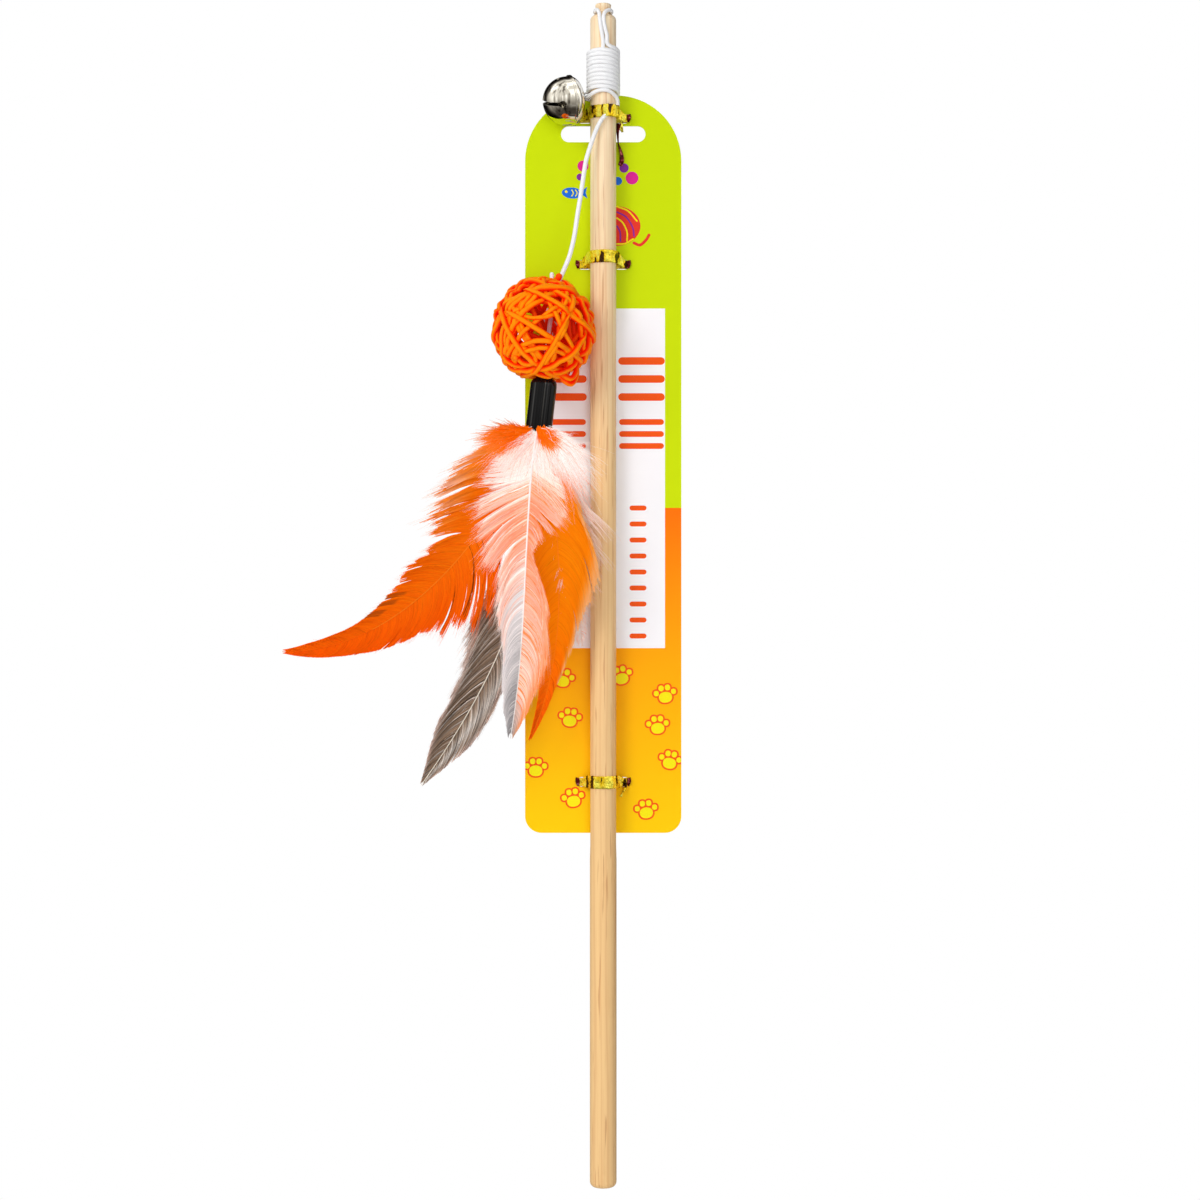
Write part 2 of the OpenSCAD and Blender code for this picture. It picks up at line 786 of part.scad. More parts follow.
wisp_left_shares = [0, 0.2, 0.5, 0.64, 0.76, 0.87, 0.83, 0.79, 0.7, 0.64, 0.58, 0.48, 0.1];
wisp_right_shares = [0, 0.1, 0.55, 0.8, 1, 1.1, 1.15, 1.1, 1, 0.8, 0.52, 0.3, 0.05];

module feather_wisp() {
    y = layer_step;
    color("Pink")
    feather(fall(wisp_x, 2,
            [0.06 * wisp_drop, 2 * y, -0.2 * wisp_drop],
            [0.18 * wisp_drop, 4 * y, -0.57 * wisp_drop],
            [0.19 * wisp_drop, 4 * y, -wisp_drop]),
        wisp_drop / 9,
        wisp_left_shares, wisp_right_shares, 25);
}

// Short down and tufts that fill the cap's mouth.
down_drop = 24;
down_reach = 25;
tuft_reach = 11;

white_left_shares = [0, 0.03, 0.05, 0.2, 0.62, 0.85, 0.95, 0.8, 0.75, 0.5, 0.3, 0.2, 0.02];
white_right_shares = [0, 0.03, 0.05, 0.2, 0.6, 0.85, 1, 1, 0.9, 0.7, 0.45, 0.2, 0.02];

module down_white() {
    y = layer_step;
    color("White")
    feather(fall(white_x, -3.4,
            [0, -3 * y, -down_drop / 3],
            [down_drop / 8, -6 * y, -2 * down_drop / 3],
            [down_drop / 6, -8 * y, -down_drop]),
        down_reach,
        white_left_shares, white_right_shares, 12, 18);
}

salmon_shares = [0, 0.05, 0.1, 0.4, 0.7, 0.9, 1, 0.9, 0.8, 0.6, 0.4, 0.3, 0.02];

module down_salmon() {
    y = layer_step;
    color("Salmon")
    feather(fall(salmon_x, 3.2,
            [0, 4 * y, -down_drop / 3],
            [0, 8 * y, -2 * down_drop / 3],
            [down_drop / 8, 10 * y, -1.25 * down_drop]),
        down_reach / 2,
        salmon_shares, salmon_shares, 20, 18);
}

tuft_shares = [0, 0.1, 0.1, 0.2, 0.5, 0.9, 1, 0.7, 0.02];

module tuft_left() {
    color("DarkOrange")
    feather(fall(tuft_left_x, 0,
            [0, 0, -tuft_reach / 2],
            [-tuft_reach / 2, 0, -0.62 * tuft_reach],
            [-tuft_reach, 0, -tuft_reach / 4]),
        tuft_reach / 3,
        tuft_shares, tuft_shares, 30, 12);
}

module tuft_right() {
    color("DarkOrange")
    feather(fall(tuft_right_x, 0,
            [0, 0, -tuft_reach / 2],
            [tuft_reach / 5, 0, -0.6 * tuft_reach],
            [0.6 * tuft_reach, 0, -0.8 * tuft_reach]),
        tuft_reach / 3,
        tuft_shares, tuft_shares, 30, 12);
}

// Assembly.

stick();
header_card();
tie_top();
tie_middle();
tie_bottom();
cord_winding();
cord_tip_loop();
cord_feed();
cord_bend();
cord_drop();
cord_core();
ball_knot();
cord_tail();
cap_knot();
ball_band_1();
ball_band_2();
ball_band_3();
ball_band_4();
ball_band_5();
ball_band_6();
ball_inner_weave();
bell_cap_shell();
bell_slit_shell();
bell_ring();
bell_pellet();
ferrule();
glue_plug();
feather_long();
feather_pale();
feather_grey();
feather_right();
feather_wisp();
down_white();
down_salmon();
tuft_left();
tuft_right();
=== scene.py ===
"""Cat teaser wand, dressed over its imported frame. Shapes are written in millimetres."""
import random
from math import atan2, cos, exp, pi, radians, sin, sqrt

import bmesh
import bpy
import numpy as np
from mathutils import Matrix, Vector, noise


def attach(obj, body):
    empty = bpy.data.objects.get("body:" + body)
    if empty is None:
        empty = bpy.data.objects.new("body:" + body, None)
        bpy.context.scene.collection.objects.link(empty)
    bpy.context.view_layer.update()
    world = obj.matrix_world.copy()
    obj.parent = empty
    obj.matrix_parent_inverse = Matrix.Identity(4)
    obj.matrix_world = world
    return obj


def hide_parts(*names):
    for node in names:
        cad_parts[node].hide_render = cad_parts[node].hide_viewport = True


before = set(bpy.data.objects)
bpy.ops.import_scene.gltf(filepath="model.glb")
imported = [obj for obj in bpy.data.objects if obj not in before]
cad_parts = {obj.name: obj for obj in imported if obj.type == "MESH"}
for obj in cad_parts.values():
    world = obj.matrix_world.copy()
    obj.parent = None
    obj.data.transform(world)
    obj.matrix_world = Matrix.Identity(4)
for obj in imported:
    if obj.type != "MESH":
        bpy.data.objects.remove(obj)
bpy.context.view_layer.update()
MM = 0.001
STICK_Y = -5.05
scene = bpy.context.scene


# Camera, floor and light

def link(name, data):
    """A new object of the scene."""
    o = bpy.data.objects.new(name, data)
    scene.collection.objects.link(o)
    return o


cam = bpy.data.cameras.new("camera")
cam.lens, cam.sensor_width = 77.96, 36
scene.camera = link("camera", cam)
scene.camera.location = Vector((-1.1, -892.05, -159.8)) * MM
scene.camera.rotation_euler = (radians(90), 0, 0)
scene.view_settings.view_transform = "Standard"


def linear(colour):
    """A colour of 0 to 255 as a linear one."""
    c = np.asarray(colour, dtype=float) / 255
    return np.where(c <= 0.04045, c / 12.92, ((c + 0.055) / 1.055) ** 2.4)


def rgba(colour):
    """A colour or a grey, 0 to 255, as a socket takes it."""
    return (*np.broadcast_to(linear(colour), 3), 1)


class Nodes:
    """Makes and joins the shader nodes of one tree."""

    def __init__(self, tree):
        self.tree = tree
        tree.nodes.clear()

    def add(self, kind, props=(), **inputs):
        node = self.tree.nodes.new("ShaderNode" + kind)
        for key, value in dict(props).items():
            setattr(node, key, value)
        for key, value in inputs.items():
            self.put(node, key if key in node.inputs else key.replace("_", " "), value)
        return node

    def put(self, node, key, value):
        socket = node.inputs[int(key[1:])] if key[0] == "i" and key[1:].isdigit() else node.inputs[key]
        if isinstance(value, bpy.types.NodeSocket):
            self.tree.links.new(value, socket)
        elif socket.type == "RGBA":
            socket.default_value = rgba(value)
        else:
            socket.default_value = value

    def dress(self, **inputs):
        """Sets the material's own shader."""
        for key, value in inputs.items():
            self.put(self.skin, key.replace("_", " "), value)

    def split(self, vector):
        return self.add("SeparateXYZ", Vector=vector).outputs

    def place(self, kind="Object"):
        return self.add("TexCoord").outputs[kind]

    def vector(self, op, a, b=(0, 0, 0)):
        node = self.add("VectorMath", {"operation": op}, i0=a, i1=b)
        return node.outputs["Vector" if op == "SUBTRACT" else "Value"]

    def join(self, node, to, socket):
        self.tree.links.new(node.outputs[0], to.inputs[socket])

    def blend(self, fac, other):
        """Mixes another shader over the material's own."""
        both = self.add("MixShader", i0=fac)
        self.join(self.skin, both, 1)
        self.join(other, both, 2)
        self.join(both, self.out, 0)

    def fade(self, fac, black, white):
        """Black to white between two values of fac."""
        return self.ramp(fac, sorted([(black, 0), (white, 255)]))

    def math(self, op, a, b=0.0, c=0.0):
        return self.add("Math", {"operation": op}, i0=a, i1=b, i2=c).outputs[0]

    def mix(self, fac, a, b, blend="MIX"):
        node = self.add("Mix", {"data_type": "RGBA", "blend_type": blend}, i0=fac, i6=a, i7=b)
        return node.outputs[2]

    def ramp(self, fac, stops):
        node = self.add("ValToRGB", i0=fac)
        ramp = node.color_ramp
        while len(ramp.elements) < len(stops):
            ramp.elements.new(0.5)
        for element, (at, colour) in zip(ramp.elements, stops):
            element.position = at
            element.color = rgba(colour)
        return node.outputs[0]

    def coords(self, scale=(1, 1, 1), kind="Object"):
        return self.add("Mapping", Vector=self.place(kind), Scale=scale).outputs[0]

    def noise(self, vector, scale, detail=4.0, rough=0.5, warp=0.0):
        return self.add("TexNoise", Vector=vector, Scale=scale, Detail=detail,
                        Roughness=rough, Distortion=warp).outputs[0]

    def scaled(self, value, times, plus):
        return self.math("MULTIPLY_ADD", value, times, plus)

    def bump(self, height, depth, strength=1.0):
        return self.add("Bump", Height=height, Distance=depth * MM,
                        Strength=strength).outputs[0]


def material(name):
    mat = bpy.data.materials.new(name)
    mat.use_nodes = True
    n = Nodes(mat.node_tree)
    n.out = n.add("OutputMaterial")
    n.skin = n.add("BsdfPrincipled")
    n.join(n.skin, n.out, 0)
    return mat, n


world = bpy.data.worlds.new("studio")
scene.world = world
world.use_nodes = True
n = Nodes(world.node_tree)
path = n.add("LightPath").outputs
seen = n.math("MAXIMUM", path["Is Camera Ray"], path["Is Transmission Ray"])
aim = n.split(n.place("Generated"))


def toward(axis, stops):
    """Colours by how far a ray points along an axis."""
    return n.ramp(n.scaled(aim[axis], 0.5, 0.5), stops)


room = toward(1, [(0.0, (196, 194, 190)), (0.35, (236, 235, 232)), (0.56, (206, 204, 200)), (0.68, (70, 66, 62)),
                  (0.76, (16, 14, 13)), (0.92, (14, 12, 12)), (1.0, (150, 148, 146))])
low = toward(2, [(0.15, (70, 66, 62)), (0.4, (190, 188, 184)), (0.6, 255)])
around = toward(0, [(0.0, (206, 206, 208)), (0.5, (194, 194, 197)), (0.75, (136, 136, 139)), (1.0, (84, 84, 88))])
panes = n.ramp(n.noise(n.coords((1, 1, 0.1), "Generated"), 3.4, 2.0),
               [(0.34, (84, 80, 76)), (0.42, (176, 173, 168)), (0.56, (206, 204, 200)), (0.62, 255)])
mirrored = n.mix(1.0, n.mix(1.0, room, low, "MULTIPLY"), panes, "MULTIPLY")
soft = n.mix(path["Is Glossy Ray"], around, mirrored)
n.put(n.add("OutputWorld"), "Surface",
      n.add("Background", Color=n.mix(seen, soft, 255),
            Strength=n.scaled(path["Is Glossy Ray"], 1.5, 1.0)).outputs[0])


def lamp(name, spot, aim_at, size, power):
    light = bpy.data.lights.new(name, "AREA")
    light.shape, light.size, light.energy = "DISK", size, power
    o = link(name, light)
    o.location = spot
    o.visible_glossy = False
    o.rotation_euler = (Vector(aim_at) - Vector(spot)).to_track_quat("-Z", "Y").to_euler()


lamp("key", (-0.8, -1.1, 0.5), (-0.01, 0, -0.14), 0.7, 8.05)
lamp("fill", (0.3, -1.45, -0.1), (0, 0, -0.16), 0.9, 5.65)
lamp("rim", (-0.2, 0.9, 0.7), (0, 0, -0.15), 0.8, 4.0)

paper, n = material("floor_paper")
n.dress(Base_Color=246, Roughness=0.9)
seen = n.add("LightPath").outputs["Is Camera Ray"]
far_off = n.ramp(n.vector("LENGTH", n.coords()), [(0.7, 230), (0.95, 255)])
n.blend(n.math("MULTIPLY", seen, far_off), n.add("Emission", Color=255, Strength=1.0))
floor_mesh = bpy.data.meshes.new("floor")
floor_mesh.from_pydata([(-5, -5, -0.62), (5, -5, -0.62), (5, 5, -0.62), (-5, 5, -0.62)], [], [(0, 1, 2, 3)])
floor_mesh.materials.append(paper)
floor = link("floor", floor_mesh)
floor.visible_glossy = False


# Building meshes

def unit(v):
    v = np.asarray(v, dtype=float)
    return v / np.maximum(np.linalg.norm(v, axis=-1, keepdims=True), 1e-12)


class Build:
    """Vertices, faces, corner UVs and vertex tints that grow into one mesh."""

    def __init__(self):
        self.verts, self.faces, self.uvs, self.tints, self.slots = [], [], [], [], []

    def add(self, verts, faces, uvs=None, tint=None, slot=0):
        base = len(self.verts)
        verts = np.asarray(verts, dtype=float).reshape(-1, 3)
        self.verts.extend(verts.tolist())
        self.faces.extend([[base + i for i in f] for f in faces])
        self.uvs.extend(uvs if uvs is not None else [[(0.0, 0.0)] * len(f) for f in faces])
        tint = np.broadcast_to(np.ones(3) if tint is None else tint, (len(verts), 3))
        self.tints.extend(tint.tolist())
        self.slots.extend([slot] * len(faces))
        return self

    def piece(self, name, mats, body, slot, replaces=(), smooth=True):
        mesh = bpy.data.meshes.new(name)
        mesh.from_pydata((np.array(self.verts) * MM).tolist(), [], self.faces)
        layer = mesh.uv_layers.new(name="UVMap")
        layer.data.foreach_set("uv", [x for f in self.uvs for c in f for x in c])
        tint = mesh.color_attributes.new("tint", "FLOAT_COLOR", "POINT")
        tint.data.foreach_set("color", [x for t in self.tints for x in (*t, 1.0)])
        for m in mats if isinstance(mats, (list, tuple)) else [mats]:
            mesh.materials.append(m)
        mesh.polygons.foreach_set("material_index", self.slots)
        mesh.polygons.foreach_set("use_smooth", [smooth] * len(self.faces))
        mesh.update()
        o = link(name, mesh)
        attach(o, body)
        if replaces:
            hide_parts(*replaces)
        return o


def curve(points, per=6, closed=False):
    """A smooth line through the points."""
    p = np.asarray(points, dtype=float)
    count = len(p)
    found = []
    for i in range(count if closed else count - 1):
        if closed:
            a, b, c, d = (p[(i + k) % count] for k in (-1, 0, 1, 2))
        else:
            b, c = p[i], p[i + 1]
            a = p[i - 1] if i else 2 * b - c
            d = p[i + 2] if i + 2 < count else 2 * c - b
        for k in range(per):
            t = k / per
            found.append(0.5 * (2 * b + (c - a) * t + (2 * a - 5 * b + 4 * c - d) * t * t
                                + (3 * b - a - 3 * c + d) * t ** 3))
    if not closed:
        found.append(p[-1])
    return np.array(found)


def along(route, closed=False):
    """Directions along a route, and two sides square to each that don't twist."""
    t = unit(np.roll(route, -1, 0) - np.roll(route, 1, 0)) if closed else unit(np.gradient(route, axis=0))
    side = np.zeros_like(t)
    first = np.cross(t[0], (0, 0, 1) if abs(t[0][2]) < 0.9 else (0, 1, 0))
    side[0] = unit(first)
    for i in range(1, len(t)):
        s = side[i - 1] - np.dot(side[i - 1], t[i]) * t[i]
        side[i] = unit(s)
    if closed:
        last = unit(side[-1] - np.dot(side[-1], t[0]) * t[0])
        turn = atan2(np.dot(np.cross(last, side[0]), t[0]), np.dot(last, side[0]))
        w = turn * np.arange(len(t)) / len(t)
        side = np.cos(w)[:, None] * side + np.sin(w)[:, None] * np.cross(t, side)
    return t, side, np.cross(t, side)


def skin_of(line, sides, closed, ends):
    """The faces and UVs of rings along a line, with a face over each end that has one."""
    length = np.concatenate([[0], np.cumsum(np.linalg.norm(np.diff(line, axis=0), axis=1))])
    m = len(line)
    faces, uvs = [], []
    for i in range(m if closed else m - 1):
        j = (i + 1) % m
        top = length[i + 1] if i + 1 < m else length[-1] + np.linalg.norm(line[0] - line[-1])
        for k in range(sides):
            q = (k + 1) % sides
            faces.append((i * sides + k, i * sides + q, j * sides + q, j * sides + k))
            uvs.append([(k / sides, length[i]), ((k + 1) / sides, length[i]),
                        ((k + 1) / sides, top), (k / sides, top)])
    if ends[0]:
        faces.append(tuple(reversed(range(sides))))
        uvs.append([(0.5, 0.0)] * sides)
    if ends[1]:
        faces.append(tuple((m - 1) * sides + k for k in range(sides)))
        uvs.append([(0.5, length[-1])] * sides)
    return faces, uvs


def tube(build, route, radius, sides=12, closed=False, rounded=True, tint=None, flat=1.0):
    """A tube with u round it and v along it in millimetres, closed or with domed ends."""
    route = np.asarray(route, dtype=float)
    radius = np.broadcast_to(radius, len(route)).astype(float)
    t, a, b = along(route, closed)
    if not closed and rounded:
        lead = [(-radius[0] * cos(w), sin(w)) for w in (0.15, 0.5, 1.0)]
        tail = [(radius[-1] * cos(w), sin(w)) for w in (1.0, 0.5, 0.15)]
        route = np.concatenate([[route[0] + x * t[0] for x, _ in lead], route,
                                [route[-1] + x * t[-1] for x, _ in tail]])
        radius = np.concatenate([[radius[0] * y for _, y in lead], radius, [radius[-1] * y for _, y in tail]])
        a = np.concatenate([[a[0]] * 3, a, [a[-1]] * 3])
        b = np.concatenate([[b[0]] * 3, b, [b[-1]] * 3])
    w = 2 * np.pi * np.arange(sides) / sides
    rings = (route[:, None] + radius[:, None, None]
             * (np.cos(w)[None, :, None] * a[:, None] + flat * np.sin(w)[None, :, None] * b[:, None]))
    faces, uvs = skin_of(route, sides, closed, (not closed, not closed))
    if tint is not None and np.ndim(tint) == 2:
        if not closed and rounded:
            tint = np.concatenate([[tint[0]] * 3, tint, [tint[-1]] * 3])
        tint = np.repeat(tint, sides, axis=0)
    return build.add(rings, faces, uvs, tint)


def lathe(build, profile, sides, at, turn=np.eye(3), closed=False, pole=(True, True)):
    """A profile of (radius, height) turned about Z and put in its place."""
    profile = np.asarray(profile, dtype=float)
    w = 2 * np.pi * np.arange(sides) / sides
    rings = np.stack([profile[:, 0:1] * np.cos(w), profile[:, 0:1] * np.sin(w),
                      np.repeat(profile[:, 1:2], sides, 1)], axis=-1)
    faces, uvs = skin_of(profile, sides, closed, (False, False) if closed else pole)
    return build.add(rings.reshape(-1, 3) @ turn.T + np.asarray(at), faces, uvs)


def arc(c, r, start, end, count=8):
    return [(c[0] + r * cos(radians(start + (end - start) * i / count)),
             c[1] + r * sin(radians(start + (end - start) * i / count))) for i in range(count + 1)]


def turned(about_y, about_z=0.0):
    """The matrix of a turn about Y, then about Z, in degrees."""
    y, z = radians(about_y), radians(about_z)
    ry = np.array([[cos(y), 0, sin(y)], [0, 1, 0], [-sin(y), 0, cos(y)]])
    rz = np.array([[cos(z), -sin(z), 0], [sin(z), cos(z), 0], [0, 0, 1]])
    return rz @ ry


def apply_modifiers(o):
    """Bakes an object's modifiers into its mesh."""
    deps = bpy.context.evaluated_depsgraph_get()
    baked = bpy.data.meshes.new_from_object(o.evaluated_get(deps), preserve_all_data_layers=True, depsgraph=deps)
    o.modifiers.clear()
    o.data = baked


# Elastic line

elastic, n = material("elastic")
part = n.split(n.place("UV"))
lean = [n.math("SINE", n.scaled(part[0], 2 * pi * 7,
                              n.math("MULTIPLY", part[1], s * 7.5))) for s in (1, -1)]
braid = n.math("MAXIMUM", lean[0], lean[1])
fuzz = n.noise(n.coords(), 2600.0, 3.0)
n.dress(Base_Color=n.mix(braid, (238, 238, 239), 252), Roughness=0.62, Sheen_Weight=0.1,
        Normal=n.bump(n.scaled(fuzz, 0.5, braid), 0.014, 0.6))

loop_points = [
    (0.95, -10, 33), (0.3, -10.05, 36.2), (0.15, -10, 38.3), (0.5, -9.6, 39.7),
    (1.3, -8.7, 40.6), (2.1, -7.7, 41.0), (2.7, -6.5, 40.9), (2.8, -5.1, 40.8),
    (2.3, -3.4, 40.7), (1.3, -2.5, 40.7), (0, -2.2, 40.7), (-1.3, -2.5, 40.7),
    (-2.3, -3.4, 40.7), (-2.8, -5.1, 40.8), (-2.75, -6.6, 40.9), (-2.3, -7.8, 41.0),
    (-1.8, -8.9, 40.6), (-1.35, -9.7, 39.3), (-1.2, -10.1, 37.6), (-0.95, -10.2, 35.5),
    (-0.5, -10.2, 32.8), (-0.1, -10.2, 30), (-0.1, -10.1, 27.1)]
feed_points = [
    (-2.2, 0.3, 11.7), (-3.3, -0.3, 11.6), (-4.4, -1.3, 11.6), (-5.3, -2.6, 11.5),
    (-5.8, -4, 11.5), (-6, -5.4, 11.4), (-5.9, -6.7, 11.4), (-5.4, -7.9, 11.4),
    (-4.5, -9, 11.8), (-3.2, -9.8, 12.5), (-1.7, -10.1, 13.1), (-0.2, -10.2, 13.3),
    (1.2, -10.1, 13.2), (2.5, -9.6, 12.8), (3.6, -8.7, 12.1), (4.5, -7.7, 11.2),
    (4.9, -6.8, 10.0), (4.9, -6.5, 8.8), (4.7, -7.1, 7.7), (4, -8.2, 6.8),
    (2.9, -9.2, 6), (1.6, -9.9, 5.2), (0.7, -10.2, 4.6), (-0.1, -10.4, 4)]
bend_point = (-0.7, -10.5, 3)
drop_points = [
    (-1.1, -10.6, 2.3), (-2, -10.8, 0.5), (-3, -11.2, -1.9), (-3.8, -11.6, -4.3),
    (-4.5, -12, -6.5), (-5.3, -12.4, -9.1), (-5.9, -12.8, -11.5), (-6.4, -13.3, -14.5),
    (-7.1, -14.1, -19.5), (-7.8, -14.9, -24.3), (-8.7, -15.8, -30), (-9.7, -16.8, -36.9),
    (-11, -17.6, -42.8), (-12, -18, -45.8), (-13.2, -18.3, -48.7)]
core_points = [
    (-14.3, -18.5, -51.3), (-15.3, -18.7, -53.9), (-16, -18.9, -56.6), (-16.8, -19, -60),
    (-17.8, -19.1, -66), (-18.7, -19.1, -74), (-19.4, -19.1, -80), (-19.7, -19.1, -84),
    (-19.9, -19.1, -86)]
tail_points = [(-16.8, -19.2, -56.6), (-17.2, -19.1, -53.6), (-17.3, -18.9, -50.4)]
line_route = curve([bend_point, *drop_points, *core_points], 5)


def knot(name, centre, r, body, node):
    """An overhand knot pulled tight: three short loops of line round one point."""
    build = Build()
    for k in range(3):
        w = np.linspace(0, 2 * np.pi, 28, endpoint=False)
        axis = unit((cos(2.1 * k), 0.6 - 0.5 * k, sin(2.1 * k + 0.4)))
        a = unit(np.cross(axis, (0.3, 0.2, 1)))
        b = np.cross(axis, a)
        ring = np.array(centre) + (r - 0.72) * (np.cos(w)[:, None] * a + np.sin(w)[:, None] * b * 0.9)
        tube(build, ring + 0.12 * np.sin(3 * w)[:, None] * axis, 0.7, 12, closed=True)
    return build.piece(name, elastic, body, "elastic", [node])


ball_knot = knot("lure_knot", (-16.5, -19, -58.1), 1.5, "lure_line", "ball_knot")
cap_turn = turned(6.5)
cap_at = np.array((-19.6, -19.1, -84.1))
cap_knot = knot("cap_stop_knot", cap_at + cap_turn @ (0, 0, -2.75), 1.5, "lure_line", "cap_knot")
tail = tube(Build(), curve(tail_points, 5), 0.72, 12).piece("lure_line_tail", elastic, "lure_line", "elastic",
                                                            ["cord_tail"])
lure_line = tube(Build(), line_route, 0.75, 14, rounded=False).piece(
    "lure_line", elastic, "lure_line", "elastic", ["cord_drop", "cord_core"])
knuckle = Build()
lathe(knuckle, [(0.75 * cos(w), 0.75 * sin(w)) for w in np.linspace(-1.5, 1.5, 16)], 24,
      bend_point)
knuckle.piece("line_turn", elastic, "line_bend", "elastic", ["cord_bend"])


def wound(a, r=5.1):
    """A point of the winding: a is its angle in degrees round the stick."""
    w = radians(a)
    return (r * cos(w), STICK_Y + r * sin(w), 27.4 - 1.385 * (a - 270) / 360 - 1.1 * sin(w))


foot = np.array(wound(284))
coil = [foot + (0, 0, 2.6), foot + (0, 0, 1.6)]
for w in range(0, 90, 15):
    c, s = cos(radians(w)), sin(radians(w))
    p = wound(284 + 15.85 * (1 - c))
    coil.append(np.array((p[0], p[1], foot[2] + 1.4 * (1 - s))))
rng = random.Random(4)
wobble = [rng.uniform(-0.07, 0.07) for _ in range(60)]
for i, a in enumerate(np.arange(299.85, 4040, 12.0)):
    turn = (a - 270) / 360
    shake = wobble[int(turn * 4) % 60] * (1 - (turn * 4) % 1) + wobble[int(turn * 4 + 1) % 60] * ((turn * 4) % 1)
    coil.append(np.array(wound(a, 5.1 + 0.35 * shake)) + (0, 0, 0.5 * shake))
last = np.array(wound(4040.25, 5.1))
tube(Build(), curve(coil, 2), 0.69, 14).piece("wound_line", elastic, "carded_stick", "elastic", ["cord_winding"])
head = np.array(wound(284, 5.05)) + (0, 0, 2.5)
tube(Build(), curve([head, head + (0, 0, 1.4), *loop_points], 5), 0.66, 12).piece(
    "tip_loop", elastic, "carded_stick", "elastic", ["cord_tip_loop"])
feed_route = curve([last, *feed_points[:-1], np.array(bend_point) + (0.27, 0.05, 0.45)], 5)
tube(Build(), feed_route, np.interp(np.linspace(0, 1, len(feed_route)), [0, 0.6, 1], [0.66, 0.66, 0.74]), 12,
     rounded=False).piece(
    "feed_line", elastic, "carded_stick", "elastic", ["cord_feed"])


# Stick

wood, n = material("pine")
streak = n.noise(n.coords((1, 1, 0.03)), 1300.0, 5.0, 0.6, 0.4)
broad = n.noise(n.coords((1, 1, 0.03)), 330.0, 3.0, 0.55, 0.6)
rings = n.add("TexWave", Vector=n.coords((1, 0.35, 0.05)), Scale=150.0, Distortion=7.0, Detail=3.0).outputs[1]
fleck = n.noise(n.coords((1, 1, 0.045)), 1100.0, 2.0, 0.4)
height = n.split(n.place())[2]
base = n.ramp(n.scaled(height, 3.4, 0.86), [(0.0, (244, 202, 140)), (0.45, (247, 210, 152)), (0.85, (255, 234, 197))])
for mask, black, white, amount, colour in (
        (broad, 0.65, 0.35, 0.3, (232, 184, 124)), (rings, 0.72, 0.96, 0.28, (220, 158, 98)),
        (streak, 0.5, 0.72, 0.26, (216, 160, 98)), (fleck, 0.63, 0.7, 0.5, (190, 118, 66))):
    base = n.mix(n.math("MULTIPLY", n.fade(mask, black, white), amount), base, colour)
n.dress(Base_Color=base, Roughness=0.55, Normal=n.bump(streak, 0.05, 0.5))

stick = Build()
shoulder = [(2.05 + 2.35 * cos(radians(w)), 39.9 - 2 * (1 - sin(radians(w))))
            for w in range(0, 91, 9)]
profile = [(0.01, -360.1), (1.2, -360.1), *arc((2.55, -358.1), 2, -88, 0, 8), (4.55, -300), (4.55, -248.1),
           (4.4, -243.1), (4.4, -120), (4.4, 0), *shoulder, (2.05, 41.3), (2.25, 41.7), (2.6, 42.3),
           *arc((2.05, 42.95), 0.65, 0, 88, 6), (0.01, 43.6)]
lathe(stick, profile, 72, (0, STICK_Y, 0), pole=(False, False))
stick.piece("dowel", wood, "carded_stick", "dowel", ["stick"])


# Card and its prints

card_mat, n = material("printed_board")
xyz = n.split(n.place())
facing = n.split(n.place("Normal"))
lime = n.ramp(n.scaled(xyz[2], 7.0, 0.91), [(0.0, (204, 227, 0)), (1.0, (201, 223, 0))])
warm = n.ramp(n.scaled(xyz[2], 9.0, 2.16), [(0.0, (255, 206, 0)), (0.5, (255, 173, 0)), (1.0, (255, 116, 0))])
ground = n.mix(n.math("LESS_THAN", xyz[2], -0.1282), lime, warm)
in_x = n.math("MULTIPLY", n.math("GREATER_THAN", xyz[0], -0.02065), n.math("LESS_THAN", xyz[0], 0.0212))
in_z = n.math("MULTIPLY", n.math("GREATER_THAN", xyz[2], -0.1763), n.math("LESS_THAN", xyz[2], -0.0598))
ground = n.mix(n.math("MULTIPLY", in_x, in_z), ground, (250, 249, 251))
fibre = n.noise(n.coords(), 1800.0, 5.0, 0.7)
board = n.mix(fibre, (205, 198, 186), (236, 231, 222))
n.dress(Base_Color=n.mix(n.math("LESS_THAN", facing[1], -0.5), board, ground), Roughness=0.5,
        Specular_IOR_Level=0.12, Normal=n.bump(n.noise(n.coords(), 90.0, 3.0), 0.12, 0.25))
card = bpy.data.objects["header_card"]
for s in card.material_slots:
    s.material = card_mat


def ink(name, colour):
    mat, n = material(name)
    grain = n.noise(n.coords(), 2400.0, 3.0)
    n.dress(Base_Color=n.mix(grain, tuple(0.94 * c for c in colour), colour), Roughness=0.4,
            Specular_IOR_Level=0.15, Normal=n.bump(grain, 0.01, 0.3))
    return mat


FLAME, RED, PINK, BLUE, YELLOW, VIOLET = range(6)
inks = [ink("ink_flame", (252, 88, 14)), ink("ink_red", (236, 56, 40)), ink("ink_pink", (226, 36, 150)),
        ink("ink_blue", (30, 112, 226)), ink("ink_yellow", (255, 240, 10)), ink("ink_violet", (134, 44, 160))]
CARD_FRONT, CARD_EDGE = -0.5, 26.7
# Millimetres to a photograph's pixel at the card, and the camera's place
PIXEL, CAMERA_X, CAMERA_Z = 0.34305, -1.1, -159.8


def print_spot(build, outline, height, slot):
    """A flat printed shape on the card's front, from (x, z) points round it, cut at the card's edges."""
    pts = [(min(max(x, -CARD_EDGE), CARD_EDGE), CARD_FRONT - height, z) for x, z in outline]
    centre = np.mean(pts, axis=0)
    m = len(pts)
    build.add([*pts, centre], [(i, (i + 1) % m, m) for i in range(m)], slot=slot)


